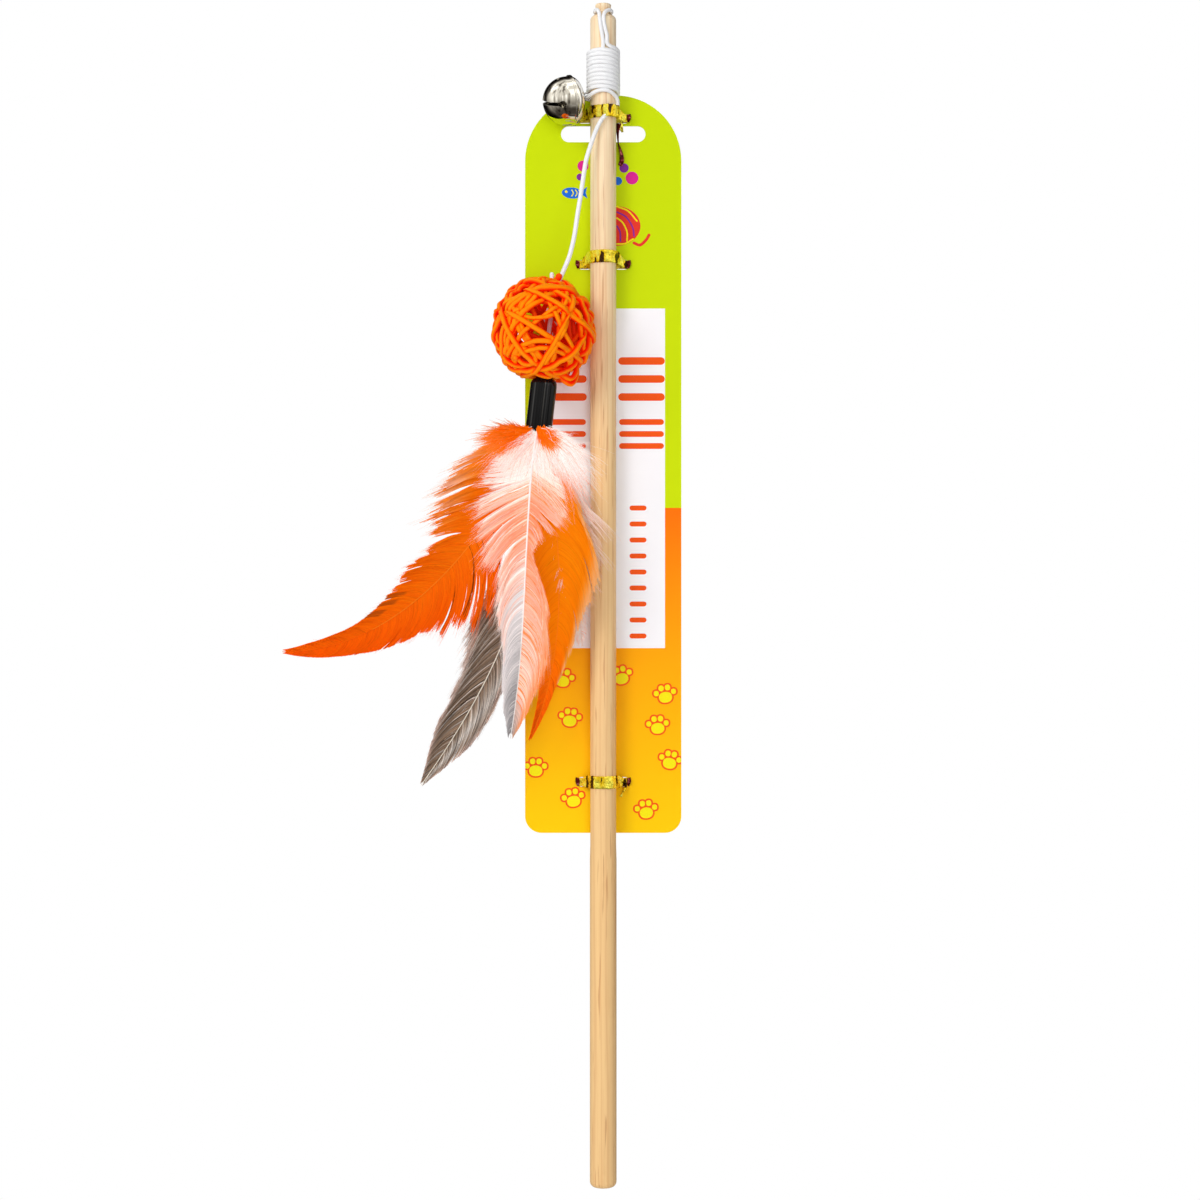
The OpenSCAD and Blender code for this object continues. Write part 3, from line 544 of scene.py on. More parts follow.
def oval(x, z, a, b, lean=0.0, pinch=0.0):
    w = np.linspace(0, 2 * np.pi, 40, endpoint=False)
    u, v = a * np.cos(w), b * np.sin(w) * (1 + pinch * np.cos(2 * w))
    c, s = cos(radians(lean)), sin(radians(lean))
    return [(x + c * p - s * q, z + s * p + c * q) for p, q in zip(u, v)]


def card_spot(u, v):
    """The card point that the photograph's pixel shows."""
    return (u - 600) * PIXEL + CAMERA_X, (600 - v) * PIXEL + CAMERA_Z


paws = Build()
for u, v, lean in ((563, 678, -8), (621, 675.5, 14), (665, 694, 8), (570, 717.7, -6), (657.5, 725, 4),
                   (535.7, 767.5, 0), (670, 760, -10), (573, 798, 10), (646, 809.5, 6)):
    x, z = card_spot(u, v)
    c, s = cos(radians(lean)), sin(radians(lean))
    marks = [(0, -1.15, 2.25, 1.95, 0.0), (-2.95, 0.55, 0.86, 0.98, 0), (-1.05, 2.1, 0.9, 1.05, 0),
             (1.15, 2.1, 0.9, 1.05, 0), (3.0, 0.5, 0.86, 0.98, 0)]
    for edge, level, slot in ((0.62, 0.012, FLAME), (0.02, 0.03, YELLOW)):
        for px, pz, a, b, t in marks:
            shape = oval(x + c * px - s * pz, z + s * px + c * pz, a + edge, b + edge, lean + t, pinch=0.06)
            print_spot(paws, shape, level + 0.002 * abs(px), slot)
paws.piece("print_paws", inks, "carded_stick", "card", smooth=False)

motif = Build()


def stripe(points, width, slot, level=0.015):
    """A printed stripe along (u, v) pixels of the photograph, with round ends."""
    line = curve([(*card_spot(u, v), 0) for u, v in points], 8)
    t = unit(np.gradient(line, axis=0))
    side = np.stack([-t[:, 1], t[:, 0], 0 * t[:, 0]], 1)
    w = np.linspace(-np.pi / 2, np.pi / 2, 9)
    half, y = width / 2, CARD_FRONT - level
    left, right = line + half * side, line - half * side
    m = len(line)
    motif.add([(p[0], y, p[1]) for p in np.concatenate([left, right])],
              [(i, i + 1, m + i + 1, m + i) for i in range(m - 1)], slot=slot)
    for end, sign in ((0, -1), (-1, 1)):
        rim = [line[end] + sign * half * (cos(a) * t[end] + sin(a) * side[end]) for a in w[::sign]]
        motif.add([(p[0], y, p[1]) for p in rim], [tuple(range(len(rim)))], slot=slot)


print_spot(motif, oval(*card_spot(616, 226), 8.4, 6.8), 0.008, RED)
for points, slot in (([(617, 206.5), (628, 211), (637, 221)], YELLOW),
                     ([(617, 212), (626, 217), (632.5, 227), (634, 236)], VIOLET),
                     ([(617, 218), (623, 223), (627, 232), (627, 241)], YELLOW),
                     ([(617, 226), (620, 232), (620.5, 241)], VIOLET),
                     ([(616, 244), (625, 243.5), (633, 239)], YELLOW)):
    stripe(points, 0.5, slot, 0.022)
stripe([(634, 243), (640, 245), (646, 240), (649, 235)], 1.0, RED)
for u, v, r, slot in ((583, 166, 1.9, PINK), (580, 177, 1.2, VIOLET), (624, 168, 1.6, VIOLET), (632, 178, 2.2, PINK),
                      (618, 181, 1.4, BLUE)):
    print_spot(motif, oval(*card_spot(u, v), r, r), 0.012, slot)
fx, fz = card_spot(572, 193)
print_spot(motif, [(fx + 2.6, fz), (fx + 5.2, fz + 2.2), (fx + 4.7, fz + 0.1), (fx + 5.3, fz - 1.9)], 0.01, BLUE)
print_spot(motif, oval(fx, fz, 3.5, 1.9, -4), 0.014, BLUE)
print_spot(motif, oval(fx - 2.0, fz + 0.45, 0.45, 0.45), 0.022, YELLOW)
for shift in (-0.4, 0.9, 2.0):
    u = 573 + shift / 0.34
    stripe([(u, 190), (u + 1.5, 193), (u, 196)], 0.35, YELLOW, 0.022)
for first_u, width, heights in ((557, 2.6, (361, 379, 397)), (552, 2.0, (422, 434, 446))):
    for v in heights:
        stripe([(first_u, v), (583, v)], width, FLAME)
        stripe([(622, v), (661, v)], width, FLAME)
for v in range(508, 640, 16):
    stripe([(632, v), (644, v)], 1.7, FLAME)
motif.piece("print_marks", inks, "carded_stick", "card", smooth=False)


# Foil ties

foil, n = material("gold_foil")
emboss = n.add("TexVoronoi", {"feature": "DISTANCE_TO_EDGE"}, Vector=n.coords(), Scale=1150.0).outputs[0]
crease = n.noise(n.coords(), 480.0, 2.0)
# Dark brown streaks and pale yellow flecks in the foil's colour, from noise: painted reflections of dark and bright
# surroundings over the gold.
gold_painted_reflections = n.ramp(n.noise(n.coords((1, 1, 0.35)), 430.0, 2.0),
               [(0.38, (66, 36, 0)), (0.42, (255, 210, 0)), (0.6, (255, 244, 90))])
n.dress(Base_Color=gold_painted_reflections, Metallic=0.7, Roughness=0.12,
        Normal=n.bump(n.scaled(n.math("MINIMUM", emboss, 0.25), 0.8, crease), 0.3, 1.2))
# Foil painted as if in shade: dark maroon with painted pink highlights, for the folds in the card's holes and the top
# tie's tail.
foil_painted_shade, n = material("foil_shade")
crease = n.noise(n.coords(), 900.0, 4.0, 0.6)
n.dress(Base_Color=n.ramp(crease, [(0.35, (40, 4, 10)), (0.55, (110, 14, 20)), (0.75, (236, 150, 150))]),
        Metallic=0.8, Roughness=0.3, Normal=n.bump(crease, 0.15, 0.8))


def thicken(o, thick, offset=-1):
    mod = o.modifiers.new("thick", "SOLIDIFY")
    mod.thickness, mod.offset = thick * MM, offset
    apply_modifiers(o)


def ribbon(name, line, heights, centres, seed, replaces):
    """A crinkled strip: its line in plan, with a height and a middle for each point."""
    m, across = len(line), 9
    t = unit(np.roll(line, -1, 0) - np.roll(line, 1, 0))
    outward = np.stack([t[:, 1], -t[:, 0]], 1)
    verts = []
    for i in range(m):
        for k in range(across):
            f = k / (across - 1) - 0.5
            x, y = line[i]
            z = centres[i] + heights[i] * f
            p = Vector((x * 0.9 + seed * 7, y * 0.9, z * 1.5))
            d = 0.26 * noise.noise(p) + 0.12 * noise.noise(p * 3)
            edge = 0.10 * noise.noise(Vector((x * 1.6, y * 1.6, seed + (9 if f > 0 else 0)))) * (abs(f) > 0.4)
            verts.append((x + d * outward[i][0], y + d * outward[i][1], z + edge))
    faces = [(i * across + k, ((i + 1) % m) * across + k, ((i + 1) % m) * across + k + 1, i * across + k + 1)
             for i in range(m) for k in range(across - 1)]
    o = Build().add(verts, faces).piece(name, foil, "carded_stick", "foil", replaces)
    thicken(o, 0.14, 0)


def tie(name, node, hole_z, rise, seed, held=False):
    """A strip round the stick that dives through the card's two holes and closes behind it."""
    front = []
    for a in range(-8, -173, -6):
        swell = 0.0
        if held:
            swell = 1.32 * max(0.0, min(1.0, (a + 98) / 16)) * max(0.0, min(1.0, (-a - 2) / 22))
        r = 4.66 + swell
        front.append((r * cos(radians(a)), STICK_Y + r * sin(radians(a))))
    half = [(0, 0.24), (3.5, 0.24), (7.0, 0.26), (8.2, 0.1), (8.5, -0.45), (8.1, -1.1), (6.7, -2.5), (5.3, -4.1)]
    line = curve([(*p, 0) for p in half + front + [(-x, y) for x, y in half[:0:-1]]], 4, closed=True)[:, :2]
    wide = np.clip((np.abs(line[:, 1] + 0.6) - 1.2) / 2.4, 0, 1) * (line[:, 1] < -0.6)
    heights = 2.7 + (4.3 - 2.7) * wide
    ribbon(name, line, heights, hole_z + rise * wide, seed, [node])


def curl(name, route, width, turns, seed, mat, phase=0.0, taper=0.5):
    """A strip's free end, twisted along a route."""
    line = curve(route, 8)
    t, a, b = along(line)
    m = len(line)
    verts = []
    for i in range(m):
        s = i / (m - 1)
        w = phase + 2 * pi * turns * s
        d = cos(w) * a[i] + sin(w) * b[i]
        q = np.cross(t[i], d)
        half = width / 2 * (1 - taper * s)
        for k in range(5):
            f = k / 2 - 1
            shake = 0.1 * noise.noise(Vector(line[i] + (seed, f, 0)))
            verts.append(line[i] + half * f * d + (0.18 * width * (1 - f * f) + shake) * q)
    faces = [(i * 5 + k, i * 5 + 5 + k, i * 5 + 6 + k, i * 5 + 1 + k) for i in range(m - 1) for k in range(4)]
    o = Build().add(verts, faces).piece(name, mat, "carded_stick", "foil")
    thicken(o, 0.12)


tie("tie_strip_top", "tie_top", 5.3, 1.075, 1, held=True)
tie("tie_strip_middle", "tie_middle", -44.8, 1.89, 2)
tie("tie_strip_bottom", "tie_bottom", -222.2, 0.36, 3)
# Folds of the strips in the card's holes, in the foil with painted shade, so that the holes look dark.
for tag, z in (("top", 5.3), ("middle", -44.8), ("bottom", -222.2)):
    for hand, side in (("left", -1), ("right", 1)):
        fold = [(side * 8.3, -0.75, z + 1.25), (side * 8.6, -0.95, z + 0.2), (side * 8.2, -0.8, z - 1.2)]
        curl(f"tie_{tag}_fold_{hand}", fold, 2.3, 0.08 * side, 20, foil_painted_shade, 0.0, 0.3)
curl("tie_top_end", [(5.6, -2.6, 6.4), (6.3, -2.4, 4.4), (6.1, -2.2, 2.2), (6.6, -2.0, 0.4)], 2.2, 0.6, 11, foil, 0.4)
curl("tie_top_tail", [(5.3, -2.2, 3.4), (4.95, -2.1, 0.6), (5.3, -2.0, -3.2), (6.0, -1.9, -6.2), (6.4, -1.8, -9.0),
                      (5.8, -1.7, -11.0)], 2.3, 0.45, 12, foil_painted_shade, 0.5, 0.35)
curl("tie_bottom_end", [(5.8, -2.0, -221.4), (7.2, -1.9, -222.0), (7.9, -1.7, -223.4), (6.8, -1.8, -225.4),
                        (6.0, -1.7, -227.2)], 1.9, 1.2, 13, foil, 0.3)
curl("tie_middle_tail", [(0.0, 0.7, -44.4), (-0.2, 1.1, -48), (0.1, 1.0, -52), (-0.3, 1.1, -56.2)], 1.5, 3.0, 14,
     foil, 1.5)


# Woven ball

BALL = np.array((-20.1, -19.1, -68.8))
ball_turn = turned(4.5)
ball_axis = ball_turn @ np.array((0, 0, 1.0))

cane_mat, n = material("dyed_cane_painted_shade")
fine = n.noise(n.coords((7, 0.25, 1), "UV"), 2.0, 3.0)
out_from = n.vector("SUBTRACT", n.place(), tuple(BALL * MM))
depth = n.math("MULTIPLY", n.vector("LENGTH", out_from), 1000)
top = n.math("DIVIDE", n.vector("DOT_PRODUCT", out_from, n.place("Normal")), n.math("MULTIPLY", depth, 0.001))
# Cane colour: random dye tone from noise, plus painted shade that turns the canes darker red where their surface faces
# in towards the ball's middle, and painted light where it faces out.
dye_and_painted_shade = n.ramp(n.scaled(n.noise(n.coords(), 210.0, 3.0), 0.5, n.math("SUBTRACT", top, 0.25)),
             [(0.0, (255, 20, 0)), (0.42, (255, 78, 0)), (0.85, (255, 150, 0))])
dye_and_painted_shade = n.mix(n.math("MULTIPLY", n.fade(fine, 0.6, 0.35), 0.14), dye_and_painted_shade, (246, 76, 0))
# Painted shade: canes deep inside the ball turn dark red.
dye_and_painted_shade = n.mix(n.ramp(n.math("DIVIDE", depth, 20), [(0.66, 255), (0.78, 0)]), dye_and_painted_shade, (214, 50, 0))
tint = n.add("VertexColor", {"layer_name": "tint"}).outputs[0]
# The faint red emission is painted light: the canes glow a little so that their shade reads redder.
n.dress(Base_Color=n.mix(1.0, dye_and_painted_shade, tint, "MULTIPLY"), Emission_Color=(255, 48.4, 0),
        Emission_Strength=0.07, Roughness=0.4, Specular_IOR_Level=0.08, Normal=n.bump(fine, 0.01, 0.3))

# Where the front canes run, three points each, in millimetres right and up from the ball's centre.
front_canes = [
    ((-11.8, 6.3), (-2.6, 11.6), (4.4, 12.6), 1),
    ((-13.7, 11.9), (-7.4, 15.3), (-0.6, 14.0), 0),
    ((-1.7, 12.2), (6.2, 13.3), (12.7, 10.6), 1),
    ((-15.5, 6.4), (-10.0, 8.8), (-5.3, 10.7), 0),
    ((-4.8, 9.3), (-7.7, 4.3), (-10.1, -0.9), 0),
    ((4.4, 5.6), (-1.6, 1.4), (-8.2, -4.6), 0),
    ((-6.4, -6.7), (-1.6, -5.6), (2.8, -5.9), 0),
    ((-5.0, -8.5), (-1.6, -8.0), (2.3, -8.2), 0),
    ((-12.6, -2.5), (-12.9, -5.6), (-12.1, -10.9), 0),
    ((10.1, 10.9), (9.9, 7.5), (9.1, 3.8), 1),
    ((7.8, 11.4), (8.0, 8.8), (6.7, 5.9), 0),
    ((13.3, 8.0), (15.1, 4.3), (16.7, -1.7), 1),
    ((7.5, -2.5), (9.3, -5.6), (10.9, -8.0), 0),
    ((-8.7, -11.0), (-5.8, -13.2), (-3.2, -12.9), 0),
    ((-13.7, 5.6), (-11.3, -1.7), (-5.3, -10.3), 2),
    ((-11.8, 4.6), (-4.3, -0.1), (3.1, -4.8), 2),
    ((-5.3, 11.9), (3.6, 7.5), (14.8, -0.7), 3),
    ((14.3, -3.5), (9.3, -9.5), (0.4, -14.3), 3),
    ((8.6, 2.7), (4.4, -5.1), (-3.7, -16.3), 4),
]
under_canes = [((0.3, 0.5, 0.8), 0.04), ((-0.75, 0.35, -0.5), 0.12), ((0.8, -0.3, 0.45), -0.1),
               ((-0.9, 0.3, 0.35), 0.3), ((0.95, 0.2, -0.2), 0.2)]
outline_canes = [((0.10, 1, 0.16), 0.02), ((-0.26, 1, 0.08), -0.03), ((0.22, 1, -0.24), 0.05),
                 ((-0.05, 1, -0.34), -0.06), ((0.55, 0.6, 0.5), 0.1), ((-0.6, 0.5, 0.62), -0.08)]
# Radii of a cane and of the ball, on which the canes start and which they never pass
CANE, BALL_START, BALL_FRONT, BALL_MOST = 0.92, 16.6, 17.0, 18.12


def to_front(x, z):
    """The direction of a point on the ball's front."""
    return unit((x, -sqrt(max(0.2, BALL_FRONT ** 2 - x * x - z * z)), z))


loops = []
for *points, rank in front_canes:
    p = [to_front(*point) for point in points]
    normal = unit(np.cross(p[1] - p[0], p[2] - p[0]))
    loops.append([normal, float(np.dot(normal, p[0])), rank])
for normal, offset in outline_canes:
    loops.append([unit(normal), offset, 0.5])
for normal, offset in under_canes:
    loops.append([unit(normal), offset, -1])


def loop_points_of(normal, offset, t):
    a = unit(np.cross(normal, (0.31, 0.17, 0.93)))
    b = np.cross(normal, a)
    ring = sqrt(1 - offset * offset)
    return offset * normal + ring * (np.cos(t)[..., None] * a + np.sin(t)[..., None] * b)


def keep_poles_open(u, top=0.23, bottom=0.30):
    """Bends a cane round the hole for the line at the top and for the cap below."""
    for pole, hole in ((ball_axis, top), (-ball_axis, bottom)):
        c = np.clip(u @ pole, -1, 1)
        w = np.arccos(c)
        wanted = np.where(w < 1.0, np.sqrt(w * w + hole * hole * np.clip(1 - w, 0, 1) ** 2), w)
        side = unit(u - c[..., None] * pole)
        u = np.cos(wanted)[..., None] * pole + np.sin(wanted)[..., None] * side
    return u


COUNT = 220
grid = np.linspace(0, 2 * np.pi, COUNT, endpoint=False)
radii = np.full((len(loops), COUNT), BALL_START)
rng = np.random.default_rng(7)
for i in range(len(loops)):
    radii[i] += 0.18 * np.sin(grid * 3 + rng.uniform(0, 6)) + 0.14 * np.sin(grid * 7 + rng.uniform(0, 6))
unwarped = [loop_points_of(nrm, off, grid) for nrm, off, _ in loops]
crossings = []
for i in range(len(loops)):
    for j in range(i + 1, len(loops)):
        f = unwarped[i] @ loops[j][0] - loops[j][1]
        for k in np.nonzero(f * np.roll(f, -1) < 0)[0]:
            here, after = unwarped[i][k], unwarped[i][(k + 1) % COUNT]
            spot = here + (after - here) * f[k] / (f[k] - f[(k + 1) % COUNT])
            m = int(np.argmax(unwarped[j] @ spot))
            upper = loops[i][2] - loops[j][2]
            if spot[1] > 0 or upper == 0:
                upper = (1 if (i * 7 + j * 3 + int(k)) % 2 else -1) if spot[1] < 0.2 else (-upper or 1)
            crossings.append((i, int(k), j, m, 1 if upper > 0 else -1))
reach = np.arange(-10, 11)
kernel = np.array([exp(-(q / 3.2) ** 2) for q in reach.tolist()])
for step in range(70):
    for i, k, j, m, sign in crossings:
        short = 2 * CANE * 0.96 - sign * (radii[i][k] - radii[j][m])
        if short > 0:
            radii[i][(k + reach) % COUNT] += sign * short * 0.45 * kernel
            radii[j][(m + reach) % COUNT] -= sign * short * 0.45 * kernel
    radii = 0.9 * radii + 0.05 * (np.roll(radii, 1, 1) + np.roll(radii, -1, 1))
    radii = np.clip(radii + 0.02 * (16.2 - radii), 13.2, BALL_MOST - CANE)
for step in range(5):
    radii = 0.5 * radii + 0.25 * (np.roll(radii, 1, 1) + np.roll(radii, -1, 1))

weave = Build()
rng = random.Random(3)
for i, (normal, offset, rank) in enumerate(loops):
    u = keep_poles_open(unwarped[i])
    route = BALL + radii[i][:, None] * u
    route += 0.1 * np.array([noise.noise_vector(Vector(p * 0.16)) for p in route])
    if rank == 0.5:
        route += (0.42 * np.sin(5 * grid + i) - 0.2)[:, None] * u
    shade = 1 - rng.uniform(0, 0.12)
    thick = rng.uniform(0.82, 0.96)
    tint_row = np.tile((1.0, shade, 1.0), (COUNT, 1))
    thick *= 1.07 if rank >= 1 else 1.0
    if rank >= 2:
        start, centre, stop = (int(np.argmax(unwarped[i] @ to_front(*point))) for point in front_canes[i][:3])
        way = 1 if (centre - start) % COUNT < (start - centre) % COUNT else -1
        order = [(start + way * q) % COUNT for q in range(-3, (way * (stop - start)) % COUNT + 70)]
        at, end = np.arange(len(order)), len(order) - 1
        size = np.interp(at, [0, 9, end - 11, end], [0.3, thick, thick, 0.3])
        dive = np.interp(at, [0, 6, end - 13, end], [0.4, 0, 0, 1.6])
        tube(weave, route[order] - dive[:, None] * u[order], size, 12, tint=tint_row[:len(order)], flat=0.9)
    else:
        w = thick * (1 + 0.05 * np.sin(grid * 5 + i))
        tube(weave, route, w, 12, closed=True, tint=tint_row, flat=0.9)
nub = curve([(-18.4, -20.4, -54.6), (-16.9, -20.9, -53.4), (-15.3, -21.0, -52.2), (-14.9, -20.6, -51.3)], 5)
# The nub sits inside the ball and is tinted darker red like the inner canes: painted shade.
tube(weave, nub, np.linspace(0.9, 1.15, len(nub)), 12, tint=(1.0, 0.55, 1.0))
for sag in ([(-15.2, -22.8, -84.4), (-13.2, -21.8, -86.4), (-11.0, -20.8, -87.4), (-9.7, -20.0, -86.2),
             (-8.9, -19.6, -83.6), (-8.6, -19.4, -80.6)],
            [(-15.6, -23.6, -83.0), (-13.2, -22.9, -84.8), (-10.9, -21.9, -85.6), (-9.5, -21.0, -84.0),
             (-8.8, -20.4, -81.6), (-8.6, -20.2, -79.0)]):
    sag = curve(sag, 5)
    size = np.interp(np.linspace(0, 1, len(sag)), [0, 0.2, 0.8, 1], [0.3, 0.9, 0.9, 0.4])
    tube(weave, sag, size, 12, tint=(1.0, 0.95, 1.0))
weave.piece("woven_ball", cane_mat, "ball", "cane", ["ball_band_%d" % (k + 1) for k in range(6)])

inner = Build()
rng = np.random.default_rng(12)
for k in range(10):
    normal = unit(rng.normal(size=3))
    t = np.linspace(0, 2 * np.pi, 120, endpoint=False)
    u = keep_poles_open(loop_points_of(normal, 0.05 * (k % 3 - 1), t), 0.52)
    r = 12.6 + 0.35 * (k % 3) + 0.55 * np.sin(5 * t + k)
    # Inner canes get a darker red tint: painted shade of the weave's inside.
    tube(inner, BALL + r[:, None] * u, 0.76, 10, closed=True, tint=(1.0, 0.5, 1.0))
inner.piece("inner_canes", cane_mat, "ball", "cane", ["ball_inner_weave"])


# Jingle bell

nickel, n = material("nickel")
smear = n.noise(n.coords(), 260.0, 4.0, 0.6)
n.dress(Base_Color=n.mix(smear, (224, 221, 212), (242, 239, 232)), Metallic=1.0, Roughness=0.06,
        Normal=n.bump(n.noise(n.coords(), 300.0, 2.0), 0.05, 0.15))
wire_mat, n = material("ring_wire")
brushed = n.noise(n.coords(), 3000.0, 3.0)
n.dress(Base_Color=n.mix(brushed, (150, 148, 146), (205, 203, 200)), Metallic=1.0, Roughness=0.24,
        Normal=n.bump(brushed, 0.03, 0.5))

BELL = np.array((-11.05, -9.45, 9.8))
bell_turn = turned(83, 15)
R, WALL, LIP = 8.2, 0.5, 1.4


def shell(name, deep, lip, up, node, cut=()):
    """One half of the bell, from its folded seam to its pole and back inside."""
    round_h = deep - lip
    seam = [(R - WALL, 0), (R + 0.3, 0), (R + 0.4, up * 0.12), (R + 0.4, up * 0.38), (R + 0.28, up * 0.5),
            (R + 0.05, up * 0.52)]
    outer = [(R * cos(w), up * (lip + round_h * sin(w))) for w in np.linspace(0.1 if lip < 0.1 else 0, 1.5686, 40)]
    inside = [((R - WALL) * cos(w), up * (lip + (round_h - WALL) * sin(w)))
              for w in np.linspace(1.5686, 0, 32)]
    build = lathe(Build(), seam + outer + inside, 128, (0, 0, 0), closed=True)
    o = build.piece(name, nickel, "bell", "bell", [node])
    bm = bmesh.new()
    bm.from_mesh(o.data)
    bmesh.ops.recalc_face_normals(bm, faces=bm.faces)
    bm.to_mesh(o.data)
    bm.free()
    for lo, hi, turn in cut:
        for is_round in (False, True):
            bm = bmesh.new()
            if is_round:
                bmesh.ops.create_cone(bm, cap_ends=True, segments=36, radius1=1.15, radius2=1.15, depth=24)
                for v in bm.verts:
                    v.co = Vector((v.co.z, v.co.y, v.co.x + hi))
            else:
                bmesh.ops.create_cube(bm, size=1)
                for v in bm.verts:
                    v.co = Vector((v.co.x * 24, v.co.y * 1.2, (lo + hi) / 2 + v.co.z * (hi - lo)))
            bmesh.ops.rotate(bm, verts=bm.verts, matrix=Matrix.Rotation(radians(turn), 3, "Z"))
            bmesh.ops.scale(bm, verts=bm.verts, vec=(MM, MM, MM))
            bmesh.ops.recalc_face_normals(bm, faces=bm.faces)
            mesh = bpy.data.meshes.new("cutter")
            bm.to_mesh(mesh)
            bm.free()
            cutter = link("cutter", mesh)
            mod = o.modifiers.new("slit", "BOOLEAN")
            mod.object, mod.operation, mod.solver = cutter, "DIFFERENCE", "EXACT"
            apply_modifiers(o)
            bpy.data.objects.remove(cutter)
    rows = np.array([v.co[:] for v in o.data.vertices]) @ bell_turn.T + BELL * MM
    o.data.vertices.foreach_set("co", rows.ravel())
    o.data.set_sharp_from_angle(angle=radians(38))
    o.data.update()
    return o


shell("bell_flat_half", 4.5, 0, 1, "bell_cap_shell")
shell("bell_slit_half", 9.6, LIP, -1, "bell_slit_shell", [(-11.0, -4.8, 17.5), (-11.0, -4.8, 107.5)])
w = np.linspace(0, 2 * np.pi, 40, endpoint=False)
ring = np.stack([1.275 * np.cos(w) - 0.9, 0 * w, 1.275 * np.sin(w) + 5.883], 1) @ bell_turn.T + BELL
tube(Build(), ring, 0.325, 14, closed=True).piece("bell_wire_ring", wire_mat, "bell", "wire", ["bell_ring"])
pellet_at = BELL + bell_turn @ (5.54, 0, -1.4)
pellet = Build()
lathe(pellet, [(2.1 * cos(w), 2.1 * sin(w)) for w in np.linspace(-1.565, 1.565, 26)], 36,
      pellet_at)
pellet.piece("loose_pellet", wire_mat, "pellet", "pellet", ["bell_pellet"])


# Feather cap

gloss, n = material("gloss_black")
scuff = n.noise(n.coords((1, 1, 0.4)), 380.0, 4.0, 0.6)
n.dress(Base_Color=n.mix(scuff, (7, 8, 10), (16, 17, 20)), Roughness=n.scaled(scuff, 0.1, 0.07),
        Specular_IOR_Level=0.16)
# Painted highlights: the coat is laid only along thin lines at set angles round the cap, so that bright streaks fall
# there and the rest stays dull black.
from_cap = n.vector("SUBTRACT", n.place(), tuple(cap_at * MM))
across = n.vector("DOT_PRODUCT", from_cap, tuple(cap_turn[:, 0]))
around = n.math("ARCTAN2", n.split(from_cap)[1], across)
highlight_lines = ((0.145, 150), (0.275, 230), (0.31, 90), (0.4, 120), (0.62, 160), (0.87, 130))
painted_highlight_coat = n.ramp(n.scaled(n.scaled(scuff, 0.06, around), 1 / (2 * pi), 0.495),
                [(at + off, v) for at, top in highlight_lines for off, v in ((-0.013, 0), (0.0, top), (0.009, 0))])
n.dress(Coat_Weight=painted_highlight_coat, Coat_IOR=2.3, Coat_Roughness=0.1,
        Normal=n.bump(n.noise(n.coords((1, 1, 0.3)), 520.0, 3.0), 0.03, 0.3))
glue, n = material("hot_glue")
cloud = n.noise(n.coords(), 700.0, 4.0)
n.dress(Base_Color=n.mix(cloud, (222, 206, 172), (240, 230, 206)), Roughness=0.35, Subsurface_Weight=0.3,
        Subsurface_Scale=0.001, Normal=n.bump(cloud, 0.2, 0.5))


def cap_edge(r_top, r, z_top, shoulder):
    return [(r_top + (r - r_top) * sin(radians(w)), z_top - shoulder * (1 - cos(radians(w))))
            for w in range(0, 91, 9)]


cap_profile = [(1.1, -1.2), (1.1, -0.1), (1.25, 0), (2.3, 0), *arc((2.35, -0.55), 0.55, 85, 0, 6),
               *cap_edge(2.9, 4.45, -1.4, 2.4), (4.45, -10), (4.45, -19.2), (4.38, -19.42), (4.2, -19.5),
               (4.0, -19.5), (3.9, -19.3), (3.9, -10), *reversed(cap_edge(2.35, 3.9, -1.95, 2.4)), (2.35, -1.2)]
cap = lathe(Build(), cap_profile, 96, cap_at, cap_turn, closed=True)
cap.piece("feather_cap", gloss, "tassel", "cap", ["ferrule"])
plug_profile = [(0.01, -12.0), (1.6, -12.05), (3.2, -12.2), (3.84, -12.6), (3.84, -16.6), (3.3, -17.0), (1.6, -17.2),
                (0.01, -17.1)]
lathe(Build(), plug_profile[::-1], 48, cap_at, cap_turn, pole=(False, False)).piece(
    "glue_fill", glue, "tassel", "glue", ["glue_plug"])


# Feathers

def feather_material(name, sheen, through):
    mat, n = material(name)
    tint = n.add("VertexColor", {"layer_name": "tint"}).outputs[0]
    grain = n.noise(n.coords(), 1500.0, 3.0, 0.6)
    colour = n.mix(n.math("MULTIPLY", grain, 0.12), tint, n.mix(1.0, tint, (214, 196, 186), "MULTIPLY"))
    n.dress(Base_Color=colour, Roughness=0.65, Specular_IOR_Level=0.05, Sheen_Weight=sheen, Sheen_Roughness=0.4,
            Normal=n.bump(grain, 0.04, 0.5))
    n.blend(through, n.add("BsdfTranslucent", Color=colour))
    return mat


vane_mat = feather_material("feather_vane", 0.0, 0.05)
down_mat = feather_material("feather_down", 0.06, 0.08)
FRONT = np.array((0, -1.0, 0))
# Where the down's hairs start to crowd in, and how far past it they may reach
DOWN_FRONT, DOWN_SPARE = -29, 8.5


def bezier(p, s):
    p = np.asarray(p, dtype=float)
    s = np.asarray(s)[..., None]
    return (1 - s) ** 3 * p[0] + 3 * (1 - s) ** 2 * s * p[1] + 3 * (1 - s) * s * s * p[2] + s ** 3 * p[3]


def heading(p, s):
    return unit(bezier(p, np.minimum(s + 0.004, 1)) - bezier(p, np.maximum(s - 0.004, 0)))


